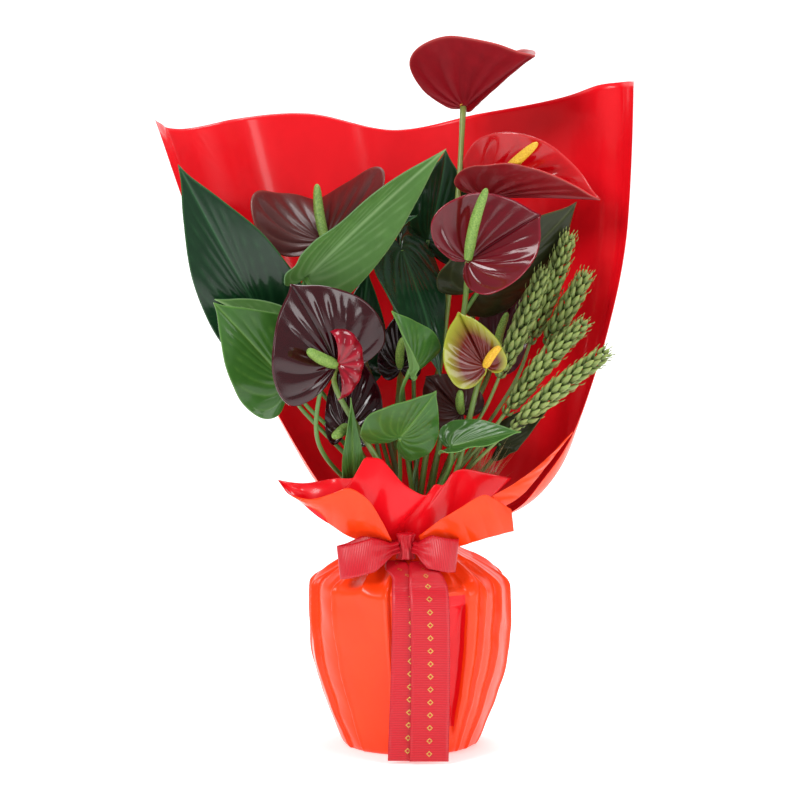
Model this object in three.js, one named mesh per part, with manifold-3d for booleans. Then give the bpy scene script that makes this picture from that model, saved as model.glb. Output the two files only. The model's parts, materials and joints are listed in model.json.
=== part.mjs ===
// A gift-wrapped anthurium: leaves, flowers and a few green wheat ears in a nursery pot, the pot
// held in gathered florist film with a ribbon bow. Millimetres, +Z up, +X right, -Y is the front.
import * as THREE from 'three';
import { mergeVertices } from 'three/addons/utils/BufferGeometryUtils.js';
import Module from 'manifold-3d';

// ---- driving dimensions ------------------------------------------------------------------------
const FIT_GAP = 0.4;             // clearance between two pieces that touch
const FILM = 1;                  // film thickness
const POT_TOP_RADIUS = 64;       // nursery pot, outside of the rim
const POT_BASE_RADIUS = 44;
const POT_HEIGHT = 116;
const POT_WALL = 1.6;
const RIM_HEIGHT = 9;            // thicker band round the pot's mouth
const RIM_STEP = 1.6;            // how far the band stands out from the wall
const SOIL_DROP = 7;             // from the pot's mouth down to the potting mix
const COVER_ROOM = 1.5;          // film clear of the pot's rim
const FOLD_ROOM = 0.9;           // more room for the film's folds
const NECK_RISE = 34.6;          // from the pot's mouth up to where the ribbon gathers the film
const NECK_RADIUS = 29;          // outside of the gathered film
const RIBBON_WIDTH = 27;
const RIBBON = 0.9;              // ribbon thickness
const BLADE = 1.2;               // leaf and spathe thickness
const LEAF_STALK = 1.9;          // radii of the stalks
const FLOWER_STALK = 2.3;
const STRAW = 1.6;

const POT_FLOOR = FILM + FIT_GAP;                 // the pot stands on the film
const POT_MOUTH = POT_FLOOR + POT_HEIGHT;
const SOIL_TOP = POT_MOUTH - SOIL_DROP;
const NECK_HEIGHT = POT_MOUTH + NECK_RISE;
const COVER_RADIUS = POT_TOP_RADIUS + COVER_ROOM + FOLD_ROOM + FILM;
const COVER_FOOT_RADIUS = POT_BASE_RADIUS + COVER_ROOM + FOLD_ROOM + FILM;
// The films that rise out of the neck stand just inside it.
const SLEEVE_RADIUS = NECK_RADIUS - FOLD_ROOM - FILM - FIT_GAP - FILM / 2;
const SLEEVE_DEPTH = 9;          // how far they reach down into the neck
const BAND_DROP = 10.5;          // from the neck's top down to the bottom of the ribbon round it

const wasm = await Module();
wasm.setup();

// The pot stands at the origin. Everything that rises out of the neck is placed from the neck, so
// its heights are heights above the neck.
const plant = new THREE.Group();
const bouquet = new THREE.Group();
bouquet.position.z = NECK_HEIGHT;
plant.add(bouquet);
const rad = THREE.MathUtils.degToRad;
const lerp = THREE.MathUtils.lerp;
const vec = (p) => new THREE.Vector3(...p);

function add(group, name, geometry, color, roughness = 0.5) {
  const material = new THREE.MeshStandardMaterial({ color, roughness, metalness: 0 });
  const mesh = new THREE.Mesh(geometry, material);
  mesh.name = name;
  group.add(mesh);
}

// ---- solids ------------------------------------------------------------------------------------

function bare(geometry) {
  const plain = geometry.clone();
  plain.deleteAttribute('normal');
  plain.deleteAttribute('uv');
  return mergeVertices(plain, 1e-4);
}

function toManifold(geometry) {
  const plain = bare(geometry);
  const mesh = new wasm.Mesh({
    numProp: 3,
    vertProperties: new Float32Array(plain.attributes.position.array),
    triVerts: new Uint32Array(plain.index.array),
  });
  mesh.merge();
  return new wasm.Manifold(mesh);
}

function fromManifold(solid) {
  const mesh = solid.getMesh();
  const geometry = new THREE.BufferGeometry();
  geometry.setAttribute('position', new THREE.BufferAttribute(mesh.vertProperties, 3));
  geometry.setIndex(new THREE.BufferAttribute(mesh.triVerts, 1));
  return geometry;
}

const join = (a, b) => fromManifold(toManifold(a).add(toManifold(b)));

// An open surface made of rows of points; a closed surface joins its last row to its first.
function gridSurface(rows, columns, pointAt, closed = false) {
  const points = [];
  const index = [];
  const lastRow = closed ? rows : rows + 1;
  for (let i = 0; i < lastRow; i += 1) {
    for (let j = 0; j <= columns; j += 1) {
      points.push(...pointAt(i / rows, j / columns).toArray());
    }
  }
  const at = (i, j) => (i % lastRow) * (columns + 1) + j;
  for (let i = 0; i < rows; i += 1) {
    for (let j = 0; j < columns; j += 1) {
      index.push(at(i, j), at(i + 1, j), at(i + 1, j + 1));
      index.push(at(i, j), at(i + 1, j + 1), at(i, j + 1));
    }
  }
  const surface = new THREE.BufferGeometry();
  surface.setAttribute('position', new THREE.Float32BufferAttribute(points, 3));
  surface.setIndex(index);
  return surface;
}

// Gives an open surface a thickness, half to each side, and closes it round its edges.
function thicken(surface, thickness) {
  surface.computeVertexNormals();
  const place = surface.attributes.position;
  const normal = surface.attributes.normal;
  const faces = Array.from(surface.index.array);
  const count = place.count;
  const points = [];
  for (const side of [0.5, -0.5]) {
    for (let i = 0; i < count; i += 1) {
      points.push(place.getX(i) + normal.getX(i) * thickness * side);
      points.push(place.getY(i) + normal.getY(i) * thickness * side);
      points.push(place.getZ(i) + normal.getZ(i) * thickness * side);
    }
  }
  const index = [...faces];
  const edges = new Map();
  for (let f = 0; f < faces.length; f += 3) {
    const [a, b, c] = faces.slice(f, f + 3);
    index.push(a + count, c + count, b + count);
    for (const [from, to] of [[a, b], [b, c], [c, a]]) {
      edges.set(`${from},${to}`, [from, to]);
    }
  }
  for (const [from, to] of edges.values()) {
    if (!edges.has(`${to},${from}`)) {
      index.push(from, from + count, to + count, from, to + count, to);
    }
  }
  const solid = new THREE.BufferGeometry();
  solid.setAttribute('position', new THREE.Float32BufferAttribute(points, 3));
  solid.setIndex(index);
  return solid;
}

// Bends a solid whose own +Y runs from 0 to 1 so that it follows a curve.
function bendAlong(geometry, curve, steps) {
  const frames = curve.computeFrenetFrames(steps, false);
  const solid = bare(geometry);
  const place = solid.attributes.position;
  for (let i = 0; i < place.count; i += 1) {
    const along = THREE.MathUtils.clamp(place.getY(i), 0, 1);
    const frame = Math.round(along * steps);
    const point = curve.getPointAt(along);
    point.addScaledVector(frames.binormals[frame], place.getX(i));
    point.addScaledVector(frames.normals[frame], place.getZ(i));
    place.setXYZ(i, point.x, point.y, point.z);
  }
  return solid;
}

function rod(curve, footRadius, topRadius, steps = 9, sides = 5) {
  const straight = new THREE.CylinderGeometry(topRadius, footRadius, 1, sides, steps);
  straight.translate(0, 0.5, 0);
  return bendAlong(straight, curve, steps);
}

// ---- pot, potting mix and the film round them ---------------------------------------------------

function nurseryPot() {
  const mouth = POT_TOP_RADIUS;
  const wallTop = mouth - RIM_STEP;
  const profile = [
    [0, 0], [POT_BASE_RADIUS, 0], [wallTop - 1, POT_HEIGHT - RIM_HEIGHT],
    [mouth, POT_HEIGHT - RIM_HEIGHT], [mouth, POT_HEIGHT], [wallTop - POT_WALL, POT_HEIGHT],
    [POT_BASE_RADIUS - POT_WALL, POT_WALL], [0, POT_WALL],
  ].map(([x, y]) => new THREE.Vector2(x, y));
  const pot = new THREE.LatheGeometry(profile, 40);
  pot.rotateX(Math.PI / 2);
  pot.translate(0, 0, POT_FLOOR);
  return pot;
}

function pottingMix() {
  const foot = POT_BASE_RADIUS - POT_WALL - FIT_GAP;
  const top = POT_TOP_RADIUS - RIM_STEP - POT_WALL - FIT_GAP;
  const floor = POT_FLOOR + POT_WALL + FIT_GAP;
  const height = SOIL_TOP - floor;
  const radius = lerp(foot, top, height / (POT_MOUTH - floor));
  const mix = new THREE.CylinderGeometry(radius - FIT_GAP, foot - FIT_GAP, height, 32);
  mix.rotateX(Math.PI / 2);
  mix.translate(0, 0, floor + height / 2);
  return mix;
}

// Outline of the film's outside from the middle of the base up to the neck: [radius, height].
const FLANK = COVER_RADIUS - COVER_FOOT_RADIUS;
const CUP_TOP = POT_MOUTH + 4;
const CUP_OUTLINE = [
  [COVER_FOOT_RADIUS, 3], [COVER_FOOT_RADIUS + FLANK * 0.45, POT_MOUTH * 0.35],
  [COVER_FOOT_RADIUS + FLANK * 0.8, POT_MOUTH * 0.7], [COVER_RADIUS, POT_MOUTH - 8],
  [COVER_RADIUS, CUP_TOP],
];
// The shoulder's radius at a share of the way out from its foot at the neck to the cup's edge.
const shoulderRadius = (share) => lerp(NECK_RADIUS + 6, COVER_RADIUS, share);
const SHOULDER_OUTLINE = [
  [COVER_RADIUS, CUP_TOP + FIT_GAP], [shoulderRadius(0.85), POT_MOUTH + 10],
  [shoulderRadius(0.41), POT_MOUTH + 16.5], [shoulderRadius(0), NECK_HEIGHT - 14],
  [NECK_RADIUS, NECK_HEIGHT - 11], [NECK_RADIUS, NECK_HEIGHT],
];

function lathe(profile, segments) {
  const solid = new THREE.LatheGeometry(profile.map(([r, z]) => new THREE.Vector2(r, z)), segments);
  solid.rotateX(Math.PI / 2);
  return solid;
}

const inward = (outline) => outline.slice().reverse().map(([r, z]) => [r - FILM, z]);

// The film folded flat under the pot and drawn up its side to just above its mouth.
function potCover() {
  const inside = inward(CUP_OUTLINE);
  inside[inside.length - 1][1] += FILM * 0.4;
  return lathe([[0, 0], [COVER_FOOT_RADIUS - 4, 0], ...CUP_OUTLINE, ...inside,
    [COVER_FOOT_RADIUS - FILM - 0.6, FILM], [0, FILM]], 32);
}

// The film drawn in over the pot's mouth and up into the neck.
function shoulder() {
  return lathe([...SHOULDER_OUTLINE, ...inward(SHOULDER_OUTLINE), SHOULDER_OUTLINE[0]], 32);
}

// The tall sheet behind the plant. Each row: height, its side edges (left, right), how deep it
// bows behind the plant, and how far round the front it wraps on each side, in degrees.
const SHEET_ROWS = [
  { z: -SLEEVE_DEPTH, left: -SLEEVE_RADIUS, right: SLEEVE_RADIUS, back: SLEEVE_RADIUS, wrap: [112, 112] },
  { z: 2, left: -SLEEVE_RADIUS, right: SLEEVE_RADIUS, back: SLEEVE_RADIUS, wrap: [112, 112] },
  { z: 12, left: -43, right: 69, back: 36, wrap: [104, 110] },
  { z: 37, left: -68, right: 100, back: 50, wrap: [106, 118] },
  { z: 84, left: -94, right: 121, back: 62, wrap: [100, 96] },
  { z: 146, left: -124, right: 139, back: 74, wrap: [96, 92] },
  { z: 210, left: -150, right: 151, back: 84, wrap: [92, 90] },
  { z: 303, left: -178, right: 156, back: 92, wrap: [88, 88] },
];
// Height of the sheet's top edge from its left corner to its right one.
const SHEET_TOP = [289, 282, 288, 292, 280, 292, 303, 314, 316];

function smooth(values, at) {
  const line = new THREE.SplineCurve(values.map((v, i) => new THREE.Vector2(i, v)));
  return line.getPoint(THREE.MathUtils.clamp(at, 0, 1)).y;
}

function backSheet() {
  const spans = SHEET_ROWS.length - 1;
  const pointAt = (across, up) => {
    const k = Math.min(Math.floor(up * spans), spans - 1);
    const t = up * spans - k;
    const [low, high] = [SHEET_ROWS[k], SHEET_ROWS[k + 1]];
    const z = lerp(low.z, k === spans - 1 ? smooth(SHEET_TOP, across) : high.z, t);
    const left = lerp(low.left, high.left, t);
    const right = lerp(low.right, high.right, t);
    const back = lerp(low.back, high.back, t);
    const from = -lerp(low.wrap[0], high.wrap[0], t);
    const to = lerp(low.wrap[1], high.wrap[1], t);
    const angle = rad(lerp(from, to, across));
    const middle = (left + right) / 2;
    return new THREE.Vector3(
      middle + ((right - left) / 2) * Math.sin(angle), back * Math.cos(angle), z);
  };
  return thicken(gridSurface(20, spans, pointAt), FILM);
}

// Rim of the flared front collar, from its left end round the front to its right end.
const COLLAR_RIM = [
  [-70, -8, 30], [-92, -20, 32], [-84, -34, 25], [-69, -44, 22],
  [-55, -50, 24], [-43, -46, 30], [-34, -41, 49], [-25, -40, 55], [-11, -42, 43],
  [10, -48, 22], [34, -54, 19], [54, -52, 22], [72, -40, 16], [76, -28, 10],
];
const COLLAR_FROM = -58;    // where the collar leaves the sleeve, in degrees from the front
const COLLAR_TO = 58;

function collar() {
  const rim = new THREE.CatmullRomCurve3(COLLAR_RIM.map(vec), false, 'centripetal');
  const pointAt = (across, up) => {
    const edge = rim.getPoint(across);
    const angle = rad(lerp(COLLAR_FROM, COLLAR_TO, across));
    const foot = new THREE.Vector3(
      SLEEVE_RADIUS * Math.sin(angle), -SLEEVE_RADIUS * Math.cos(angle), -SLEEVE_DEPTH);
    const throat = foot.clone().setZ(2);
    const flare = throat.clone().lerp(edge, 0.5).add(new THREE.Vector3(0, 0, -2));
    const leg = new THREE.CatmullRomCurve3([foot, throat, flare, edge]);
    return leg.getPoint(up);
  };
  return thicken(gridSurface(24, 5, pointAt), FILM);
}

// ---- ribbon ------------------------------------------------------------------------------------

const BAND_RADIUS = NECK_RADIUS + FOLD_ROOM + FIT_GAP;
const BAND_HEIGHT = 9;
const KNOT = { at: [-3, -(BAND_RADIUS + 7.7), -5], size: [11, 16, 16] };
const LOOP_FORWARD = 3;          // the loops start in front of the knot's middle
const LOOP_TILT = 0.5;           // a loop leans back, so its lower edge stands forward
const LOOP_WIDTH = RIBBON_WIDTH * 0.8;   // the ribbon is drawn in at the knot

// The ribbon round the neck with the bow's knot on its front.
function ribbonBand() {
  const [inner, outer] = [BAND_RADIUS, BAND_RADIUS + RIBBON];
  const band = lathe([[outer, 0], [outer, BAND_HEIGHT], [inner, BAND_HEIGHT], [inner, 0], [outer, 0]], 32);
  band.translate(0, 0, -BAND_DROP);
  const ball = new THREE.SphereGeometry(0.5, 10, 8);
  ball.scale(...KNOT.size);
  ball.translate(...KNOT.at);
  const inside = new THREE.CylinderGeometry(outer - RIBBON / 2, outer - RIBBON / 2, 2 * KNOT.size[2], 32);
  inside.rotateX(Math.PI / 2);
  const knot = fromManifold(toManifold(ball).subtract(toManifold(inside)));
  return join(band, knot);
}

// A bow loop lies on the film's shoulder: the ribbon runs out from the knot and comes back behind.
function bowLoop(side, reach, fall) {
  const [x, , z] = KNOT.at;
  const y = KNOT.at[1] - LOOP_FORWARD;
  const start = x + side * (KNOT.size[0] / 2 + FIT_GAP);
  const path = new THREE.CatmullRomCurve3([
    [start, y - 2, z], [start + side * reach * 0.35, y - 15, z - fall * 0.3],
    [start + side * reach * 0.8, y - 16, z - fall * 0.8], [start + side * reach, y - 9, z - fall],
    [start + side * reach * 0.85, y - 4, z - fall * 0.9], [start + side * reach * 0.4, y - 3, z - 1],
    [start, y + 1.5, z],
  ].map(vec), false, 'centripetal');
  const pointAt = (along, across) => {
    const point = path.getPoint(along);
    const spread = lerp(0.5, 1, Math.min(1, Math.sin(Math.PI * along) * 1.6));
    const height = (across - 0.5) * LOOP_WIDTH * spread;
    return point.add(new THREE.Vector3(0, height * LOOP_TILT, height));
  };
  return thicken(gridSurface(18, 2, pointAt), RIBBON);
}

// A tail falls over the film's shoulder and hangs to just above the table. sideways is how far it
// stands to the right at each point, rise how far its first points are above the pot's mouth, and
// back how much closer to the pot it lies than the other tail.
function ribbonTail(sideways, rise, back) {
  const hang = -(COVER_RADIUS + 5.6);
  const route = [
    [-shoulderRadius(0.26), POT_MOUTH + rise[0]], [-shoulderRadius(0.61), POT_MOUTH + rise[1]],
    [-shoulderRadius(0.94), POT_MOUTH + rise[2]], [hang, POT_MOUTH], [hang - 1, POT_MOUTH / 2],
    [hang - 1, 2],
  ];
  const points = route.map(([y, z], i) => vec([sideways[i], y + back, z]));
  const path = new THREE.CatmullRomCurve3(points, false, 'centripetal');
  const pointAt = (along, across) => {
    const point = path.getPoint(along);
    const width = lerp(0.3, 1, Math.min(1, along * 2.4)) * (RIBBON_WIDTH / 2);
    return point.add(new THREE.Vector3((across - 0.5) * 2 * width, 0, 0));
  };
  return thicken(gridSurface(12, 2, pointAt), RIBBON);
}

// ---- leaves, flowers and wheat -----------------------------------------------------------------

// Half an outline from the tip round to the notch: [share of length, share of half width].
const LEAF_EDGE = [
  [1, 0], [0.9, 0.12], [0.72, 0.42], [0.42, 0.84], [0.12, 1], [-0.12, 0.9], [-0.24, 0.55],
  [-0.17, 0.16], [-0.02, 0],
];
const SPATHE_EDGE = [
  [1, 0], [0.93, 0.12], [0.78, 0.46], [0.5, 0.85], [0.18, 1], [-0.1, 0.9], [-0.24, 0.55],
  [-0.18, 0.16], [-0.02, 0],
];

function halfEdge(edge, lobe) {
  const points = edge.map(([along, across]) => (
    new THREE.Vector2(along < 0 ? along * lobe : along, across)));
  return new THREE.SplineCurve(points);
}

// A heart-shaped blade from its stalk joint to its tip. face is the way its upper side looks;
// bend droops the tip; fold lifts each half (right, left) from the midrib, curl rolls its edge.
function blade(spec, edge, edgeSteps = 9, rings = 2) {
  const { base, tip, face, half, bend = 20, fold = [10, 10], curl = [0, 0], twist = 0, lobe = 1 } = spec;
  const along = vec(tip).sub(vec(base));
  const chord = along.length();
  along.normalize();
  const up = vec(face);
  up.addScaledVector(along, -up.dot(along)).normalize();
  const aside = along.clone().cross(up);
  const turn = rad(Math.abs(bend) < 1 ? 1 : bend);
  const length = (chord * (turn / 2)) / Math.sin(turn / 2);
  const outline = halfEdge(edge, lobe);

  const place = (u, v) => {
    const angle = (turn * u) / length - turn / 2;
    const bow = length / turn;
    const point = vec(base);
    point.addScaledVector(along, bow * (Math.sin(angle) + Math.sin(turn / 2)));
    point.addScaledVector(up, bow * (Math.cos(angle) - Math.cos(turn / 2)));
    const lift = up.clone().multiplyScalar(Math.cos(angle)).addScaledVector(along, Math.sin(angle));
    const roll = rad(twist) * (u / length);
    const side = aside.clone().multiplyScalar(Math.cos(roll)).addScaledVector(lift, Math.sin(roll));
    const over = lift.multiplyScalar(Math.cos(roll)).addScaledVector(aside, -Math.sin(roll));
    const k = v < 0 ? 1 : 0;
    const slope = rad(fold[k] + (curl[k] * Math.abs(v)) / half[k]);
    point.addScaledVector(side, v * Math.cos(slope));
    return point.addScaledVector(over, Math.abs(v) * Math.sin(slope));
  };

  const points = [place(0, 0)];
  const index = [];
  const spokes = 2 * edgeSteps;
  for (let ring = 1; ring <= rings; ring += 1) {
    for (let i = 0; i < spokes; i += 1) {
      const share = i <= edgeSteps ? i / edgeSteps : (spokes - i) / edgeSteps;
      const at = outline.getPoint(share);
      const k = i > edgeSteps ? 1 : 0;
      const v = at.y * half[k] * (k ? -1 : 1);
      points.push(place((at.x * length * ring) / rings, (v * ring) / rings));
    }
  }
  const at = (ring, i) => (ring === 0 ? 0 : 1 + (ring - 1) * spokes + (i % spokes));
  for (let ring = 0; ring < rings; ring += 1) {
    for (let i = 0; i < spokes; i += 1) {
      index.push(at(ring + 1, i), at(ring, i), at(ring + 1, i + 1));
      if (ring > 0) {
        index.push(at(ring + 1, i + 1), at(ring, i), at(ring, i + 1));
      }
    }
  }
  const surface = new THREE.BufferGeometry();
  surface.setAttribute('position', new THREE.Float32BufferAttribute(points.flatMap((p) => p.toArray()), 3));
  surface.setIndex(index);
  return { solid: thicken(surface, BLADE), up };
}

// A stalk rises from the potting mix through the neck and comes to the joint from below.
function stalkCurve(neck, joint, arrive, via = []) {
  const [x, y] = neck;
  const reach = Math.hypot(joint[0] - x, joint[1] - y, joint[2]);
  const last = vec(joint).addScaledVector(arrive, -reach * 0.2);
  return new THREE.CatmullRomCurve3(
    [vec([x * 1.3, y * 1.3, SOIL_TOP + FIT_GAP - NECK_HEIGHT]), vec([x, y, 0]), ...via.map(vec), last,
      vec(joint)], false, 'centripetal');
}

// The way a stalk is heading when it reaches its blade: onward from the neck, turned to the blade.
function arrival(spec, up, turn) {
  const onward = vec(spec.base).sub(vec([...spec.neck, 0])).normalize();
  return onward.addScaledVector(up, turn).normalize();
}

function leaf(spec) {
  const { solid, up } = blade(spec, LEAF_EDGE);
  const arrive = arrival(spec, up, 0.5);
  const joint = vec(spec.base).addScaledVector(up, -0.2).toArray();
  const stalk = rod(stalkCurve(spec.neck, joint, arrive, spec.via), LEAF_STALK, LEAF_STALK * 0.8);
  add(bouquet, spec.name, join(solid, stalk), spec.color ?? 0x2f6b35, 0.4);
}

function flower(spec) {
  const { solid, up } = blade(spec, SPATHE_EDGE);
  add(bouquet, `spathe_${spec.name}`, solid, spec.color, 0.3);
  const arrive = arrival(spec, up, 0.9);
  const joint = vec(spec.base).addScaledVector(arrive, -(BLADE / 2 + FIT_GAP + FLOWER_STALK)).toArray();
  const stalk = rod(stalkCurve(spec.neck, joint, arrive, spec.via), FLOWER_STALK, FLOWER_STALK * 0.8);
  add(bouquet, `stalk_${spec.name}`, stalk, spec.stalkColor ?? 0x5f7f35, 0.5);
  const foot = vec(spec.base).addScaledVector(up, BLADE + spec.spadix.radius * 1.6);
  const r = spec.spadix.radius;
  const shape = [[0, 0], [r * 0.75, 0], [r, 0.2], [r, 0.55], [r * 0.8, 0.85], [r * 0.5, 0.97], [0, 1]];
  const spadix = new THREE.LatheGeometry(shape.map(([x, y]) => new THREE.Vector2(x, y)), 8);
  const lean = new THREE.LineCurve3(foot, vec(spec.spadix.tip));
  add(bouquet, `spadix_${spec.name}`, bendAlong(spadix, lean, 20), spec.spadix.color, 0.6);
}

function wheat(spec) {
  const ear = new THREE.CatmullRomCurve3([...spec.ear].map(vec), false, 'centripetal');
  const r = spec.radius ?? 7;
  const shape = [
    [0, 0], [r * 0.35, 0.02], [r * 0.85, 0.15], [r, 0.4], [r * 0.9, 0.7], [r * 0.5, 0.92], [0, 1]];
  const body = new THREE.LatheGeometry(shape.map(([x, y]) => new THREE.Vector2(x, y)), 8);
  const head = bendAlong(body, ear, 20);
  const foot = ear.getPointAt(0.04);
  const arrive = ear.getTangentAt(0);
  const stalk = rod(stalkCurve(spec.neck, foot.toArray(), arrive, spec.via), STRAW, STRAW * 0.8);
  add(bouquet, spec.name, join(head, stalk), 0x7f9c4a, 0.7);
}

const RED = 0xb01525;
const MAROON = 0x5a1020;
const BLACK_RED = 0x2a0d12;
const CREAM_GREEN = 0x8aa53c;
const YELLOW = 0xe0bf3a;

const FLOWERS = [
  { name: 'top_red', neck: [5, -1], via: [[24, 12, 136]],
    base: [38, 44, 298], tip: [85, -4, 336], face: [0.4, 0.06, 0.92],
    half: [55, 51], bend: 7, fold: [25, 30], curl: [0, 30], twist: -7, lobe: 0.7, color: RED,
    spadix: { tip: [32, 70, 345], radius: 3.6, color: YELLOW }, stalkColor: 0x9a2a2a },
  { name: 'upper_red', neck: [10, 18], via: [[39, 45, 124]],
    base: [56, 14, 236], tip: [133, -5, 236], face: [0.42, -0.86, 0.29],
    half: [29, 45], bend: 21, fold: [68, 5], curl: [0, 12], twist: -12, lobe: 1.1, color: 0xc01828,
    spadix: { tip: [88, -24, 274], radius: 3.7, color: YELLOW } },
  { name: 'burgundy', neck: [12, 2], via: [[31, 2, 113]],
    base: [40, -34, 194], tip: [91, -18, 225], face: [-0.07, -0.84, 0.54],
    half: [39, 41], bend: 14, fold: [6, 20], curl: [9, 15], twist: -4, lobe: 0.8, color: MAROON,
    spadix: { tip: [52, -56, 244], radius: 3.7, color: 0x6f9040 } },
  { name: 'brown', neck: [-2, -1], via: [[-21, 19, 84]],
    base: [-60, 23, 204], tip: [-68, 70, 230], face: [-0.25, 0.42, 0.87],
    half: [64, 59], bend: 36, fold: [28, 18], curl: [9, 22], twist: -12, color: 0x6a2a1e,
    spadix: { tip: [-66, 37, 243], radius: 3.6, color: CREAM_GREEN } },
  { name: 'large_dark', neck: [-2, -20], via: [[-13, -29, 36]],
    base: [-51, -62, 124], tip: [-81, -72, 180], face: [0.12, -0.86, 0.5],
    half: [43, 50], bend: 21, fold: [3, 6], curl: [3, 2], twist: -9, lobe: 0.7, color: BLACK_RED,
    spadix: { tip: [-69, -87, 136], radius: 4, color: CREAM_GREEN } },
  { name: 'lower_dark', neck: [-15, -7], via: [[-30, -9, 48]],
    base: [-45, -20, 76], tip: [-41, -6, 129], face: [0, -0.95, 0.3],
    half: [26, 15], bend: 10, fold: [10, 10], color: BLACK_RED,
    spadix: { tip: [-53, -44, 72], radius: 3.6, color: CREAM_GREEN } },
  { name: 'small_green', neck: [10, -18], via: [[29, -28, 35]],
    base: [52, -42, 121], tip: [33, -38, 158], face: [-0.14, -0.92, 0.36],
    half: [17, 28], bend: 19, fold: [16, 17], curl: [4, 6], twist: 5, lobe: 0.8, color: 0x8a3a28,
    spadix: { tip: [61, -62, 136], radius: 3, color: YELLOW } },
  { name: 'hidden_dark', neck: [-11, 2], via: [[-11, 26, 61]],
    base: [-7, 5, 116], tip: [-7, 0, 156], face: [0, -0.95, 0.3],
    half: [16, 16], bend: 10, fold: [10, 10], color: BLACK_RED,
    spadix: { tip: [-5, -18, 138], radius: 3, color: CREAM_GREEN } },
  { name: 'low_brown', neck: [17, 5], via: [[28, 8, 48]],
    base: [36, -10, 85], tip: [11, 2, 110], face: [-0.2, -0.8, 0.55],
    half: [20, 22], bend: 15, fold: [12, 12], color: 0x4a1c14,
    spadix: { tip: [35, -28, 102], radius: 3, color: CREAM_GREEN } },
  { name: 'back_maroon', neck: [12, 9], via: [[25, 27, 39]],
    base: [62, 38, 123], tip: [79, 42, 178], face: [0, -0.95, 0.3],
    half: [20, 20], bend: 10, fold: [10, 10], color: MAROON,
    spadix: { tip: [69, 16, 153], radius: 3, color: CREAM_GREEN } },
];

const LEAVES = [
  { name: 'leaf_tall_left', neck: [-9, -6], via: [[-52, 7, 83]],
    base: [-101, -17, 149], tip: [-161, -19, 259], face: [-0.32, -0.85, 0.43],
    half: [37, 34], bend: 20, fold: [7, 9], lobe: 0.8 },
  { name: 'leaf_folded_upper', neck: [-16, 13], via: [[-64, -35, 68]],
    base: [-72, -42, 182], tip: [25, -22, 270], face: [-0.32, 0.94, 0.12],
    half: [24, 34], bend: 15, fold: [-20, -4], curl: [-20, 10], lobe: 0.5, color: 0x5f8f4a },
  { name: 'leaf_back_centre', neck: [6, 6], via: [[3, 51, 121]],
    base: [13, 44, 203], tip: [26, 46, 267], face: [0.26, -0.95, 0.1],
    half: [34, 25], bend: 30, fold: [12, 13], lobe: 0.9 },
  { name: 'leaf_dark_centre', neck: [-15, 7], via: [[-33, 9, 105]],
    base: [-56, -15, 191], tip: [6, -9, 223], face: [-0.2, -0.8, 0.5],
    half: [14, 18], bend: 15, fold: [8, 8], color: 0x1d4426 },
  { name: 'leaf_hanging', neck: [4, 19], via: [[-6, 30, 106]],
    base: [-6, 13, 198], tip: [22, -16, 111], face: [0.23, -0.6, 0.76],
    half: [29, 25], bend: 21, fold: [5, -2], curl: [3, -9], twist: -8, lobe: 0.9, color: 0x1d4426 },
  { name: 'leaf_low_left', neck: [-13, -16], via: [[-30, -13, 37]],
    base: [-87, -42, 111], tip: [-135, -54, 166], face: [-0.3, -0.75, 0.55],
    half: [38, 33], bend: 25, fold: [8, 10], lobe: 0.8, color: 0x4f8a35 },
  { name: 'leaf_left_underside', neck: [-17, 2], via: [[-43, -12, 59]],
    base: [-83, -26, 130], tip: [-135, -35, 167], face: [0.02, 0.35, 0.94],
    half: [10, 26], bend: 25, fold: [9, 24], curl: [2, 10], twist: -7, lobe: 0.7, color: 0x7f9c7a },
  { name: 'leaf_front_small', neck: [5, -12], via: [[2, -13, 26]],
    base: [0, -50, 119], tip: [-12, -62, 161], face: [0.64, -0.76, 0.06],
    half: [29, 9], bend: 35, fold: [1, 59], curl: [0, 20], lobe: 0.5, color: 0x6aa04a },
  { name: 'leaf_low_centre', neck: [-8, -13], via: [[-7, -18, 43]],
    base: [-7, -38, 71], tip: [18, -50, 105], face: [0.17, -0.98, -0.13],
    half: [24, 31], bend: 29, fold: [-4, 21], curl: [1, -5], twist: -7, lobe: 1.4 },
  { name: 'leaf_narrow', neck: [-20, -5],
    base: [-40, -27, 36], tip: [-41, -46, 100], face: [0.2, -0.95, 0.2],
    half: [8, 8], bend: 10, fold: [20, 20], lobe: 0.2, color: 0x5f8f3a },
  { name: 'leaf_low_right', neck: [15, -14], via: [[18, -18, 21]],
    base: [29, -34, 64], tip: [77, -46, 75], face: [0.17, -0.62, 0.77],
    half: [15, 18], bend: 8, fold: [15, 19], curl: [16, 8], twist: -8, lobe: 0.7, color: 0x3f7a3a },
  { name: 'leaf_right_olive', neck: [-3, -13], via: [[20, 19, 112]],
    base: [49, 8, 170], tip: [117, 4, 232], face: [0.5, -0.8, -0.1],
    half: [34, 34], bend: 34, fold: [3, -5], curl: [-20, 3], twist: 9, color: 0x3a4a24 },
  { name: 'leaf_low_olive', neck: [18, 10],
    base: [64, 0, 62], tip: [102, -2, 92], face: [0.1, -0.8, 0.6],
    half: [12, 12], bend: 15, fold: [10, 10], color: 0x5f5a2a },
  { name: 'leaf_behind_dark', neck: [-6, 20], via: [[-18, 39, 52]],
    base: [-37, 36, 117], tip: [-30, 40, 182], face: [0, -0.95, 0.3],
    half: [20, 20], bend: 10, fold: [10, 10], color: 0x2a4a3a },
];

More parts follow.
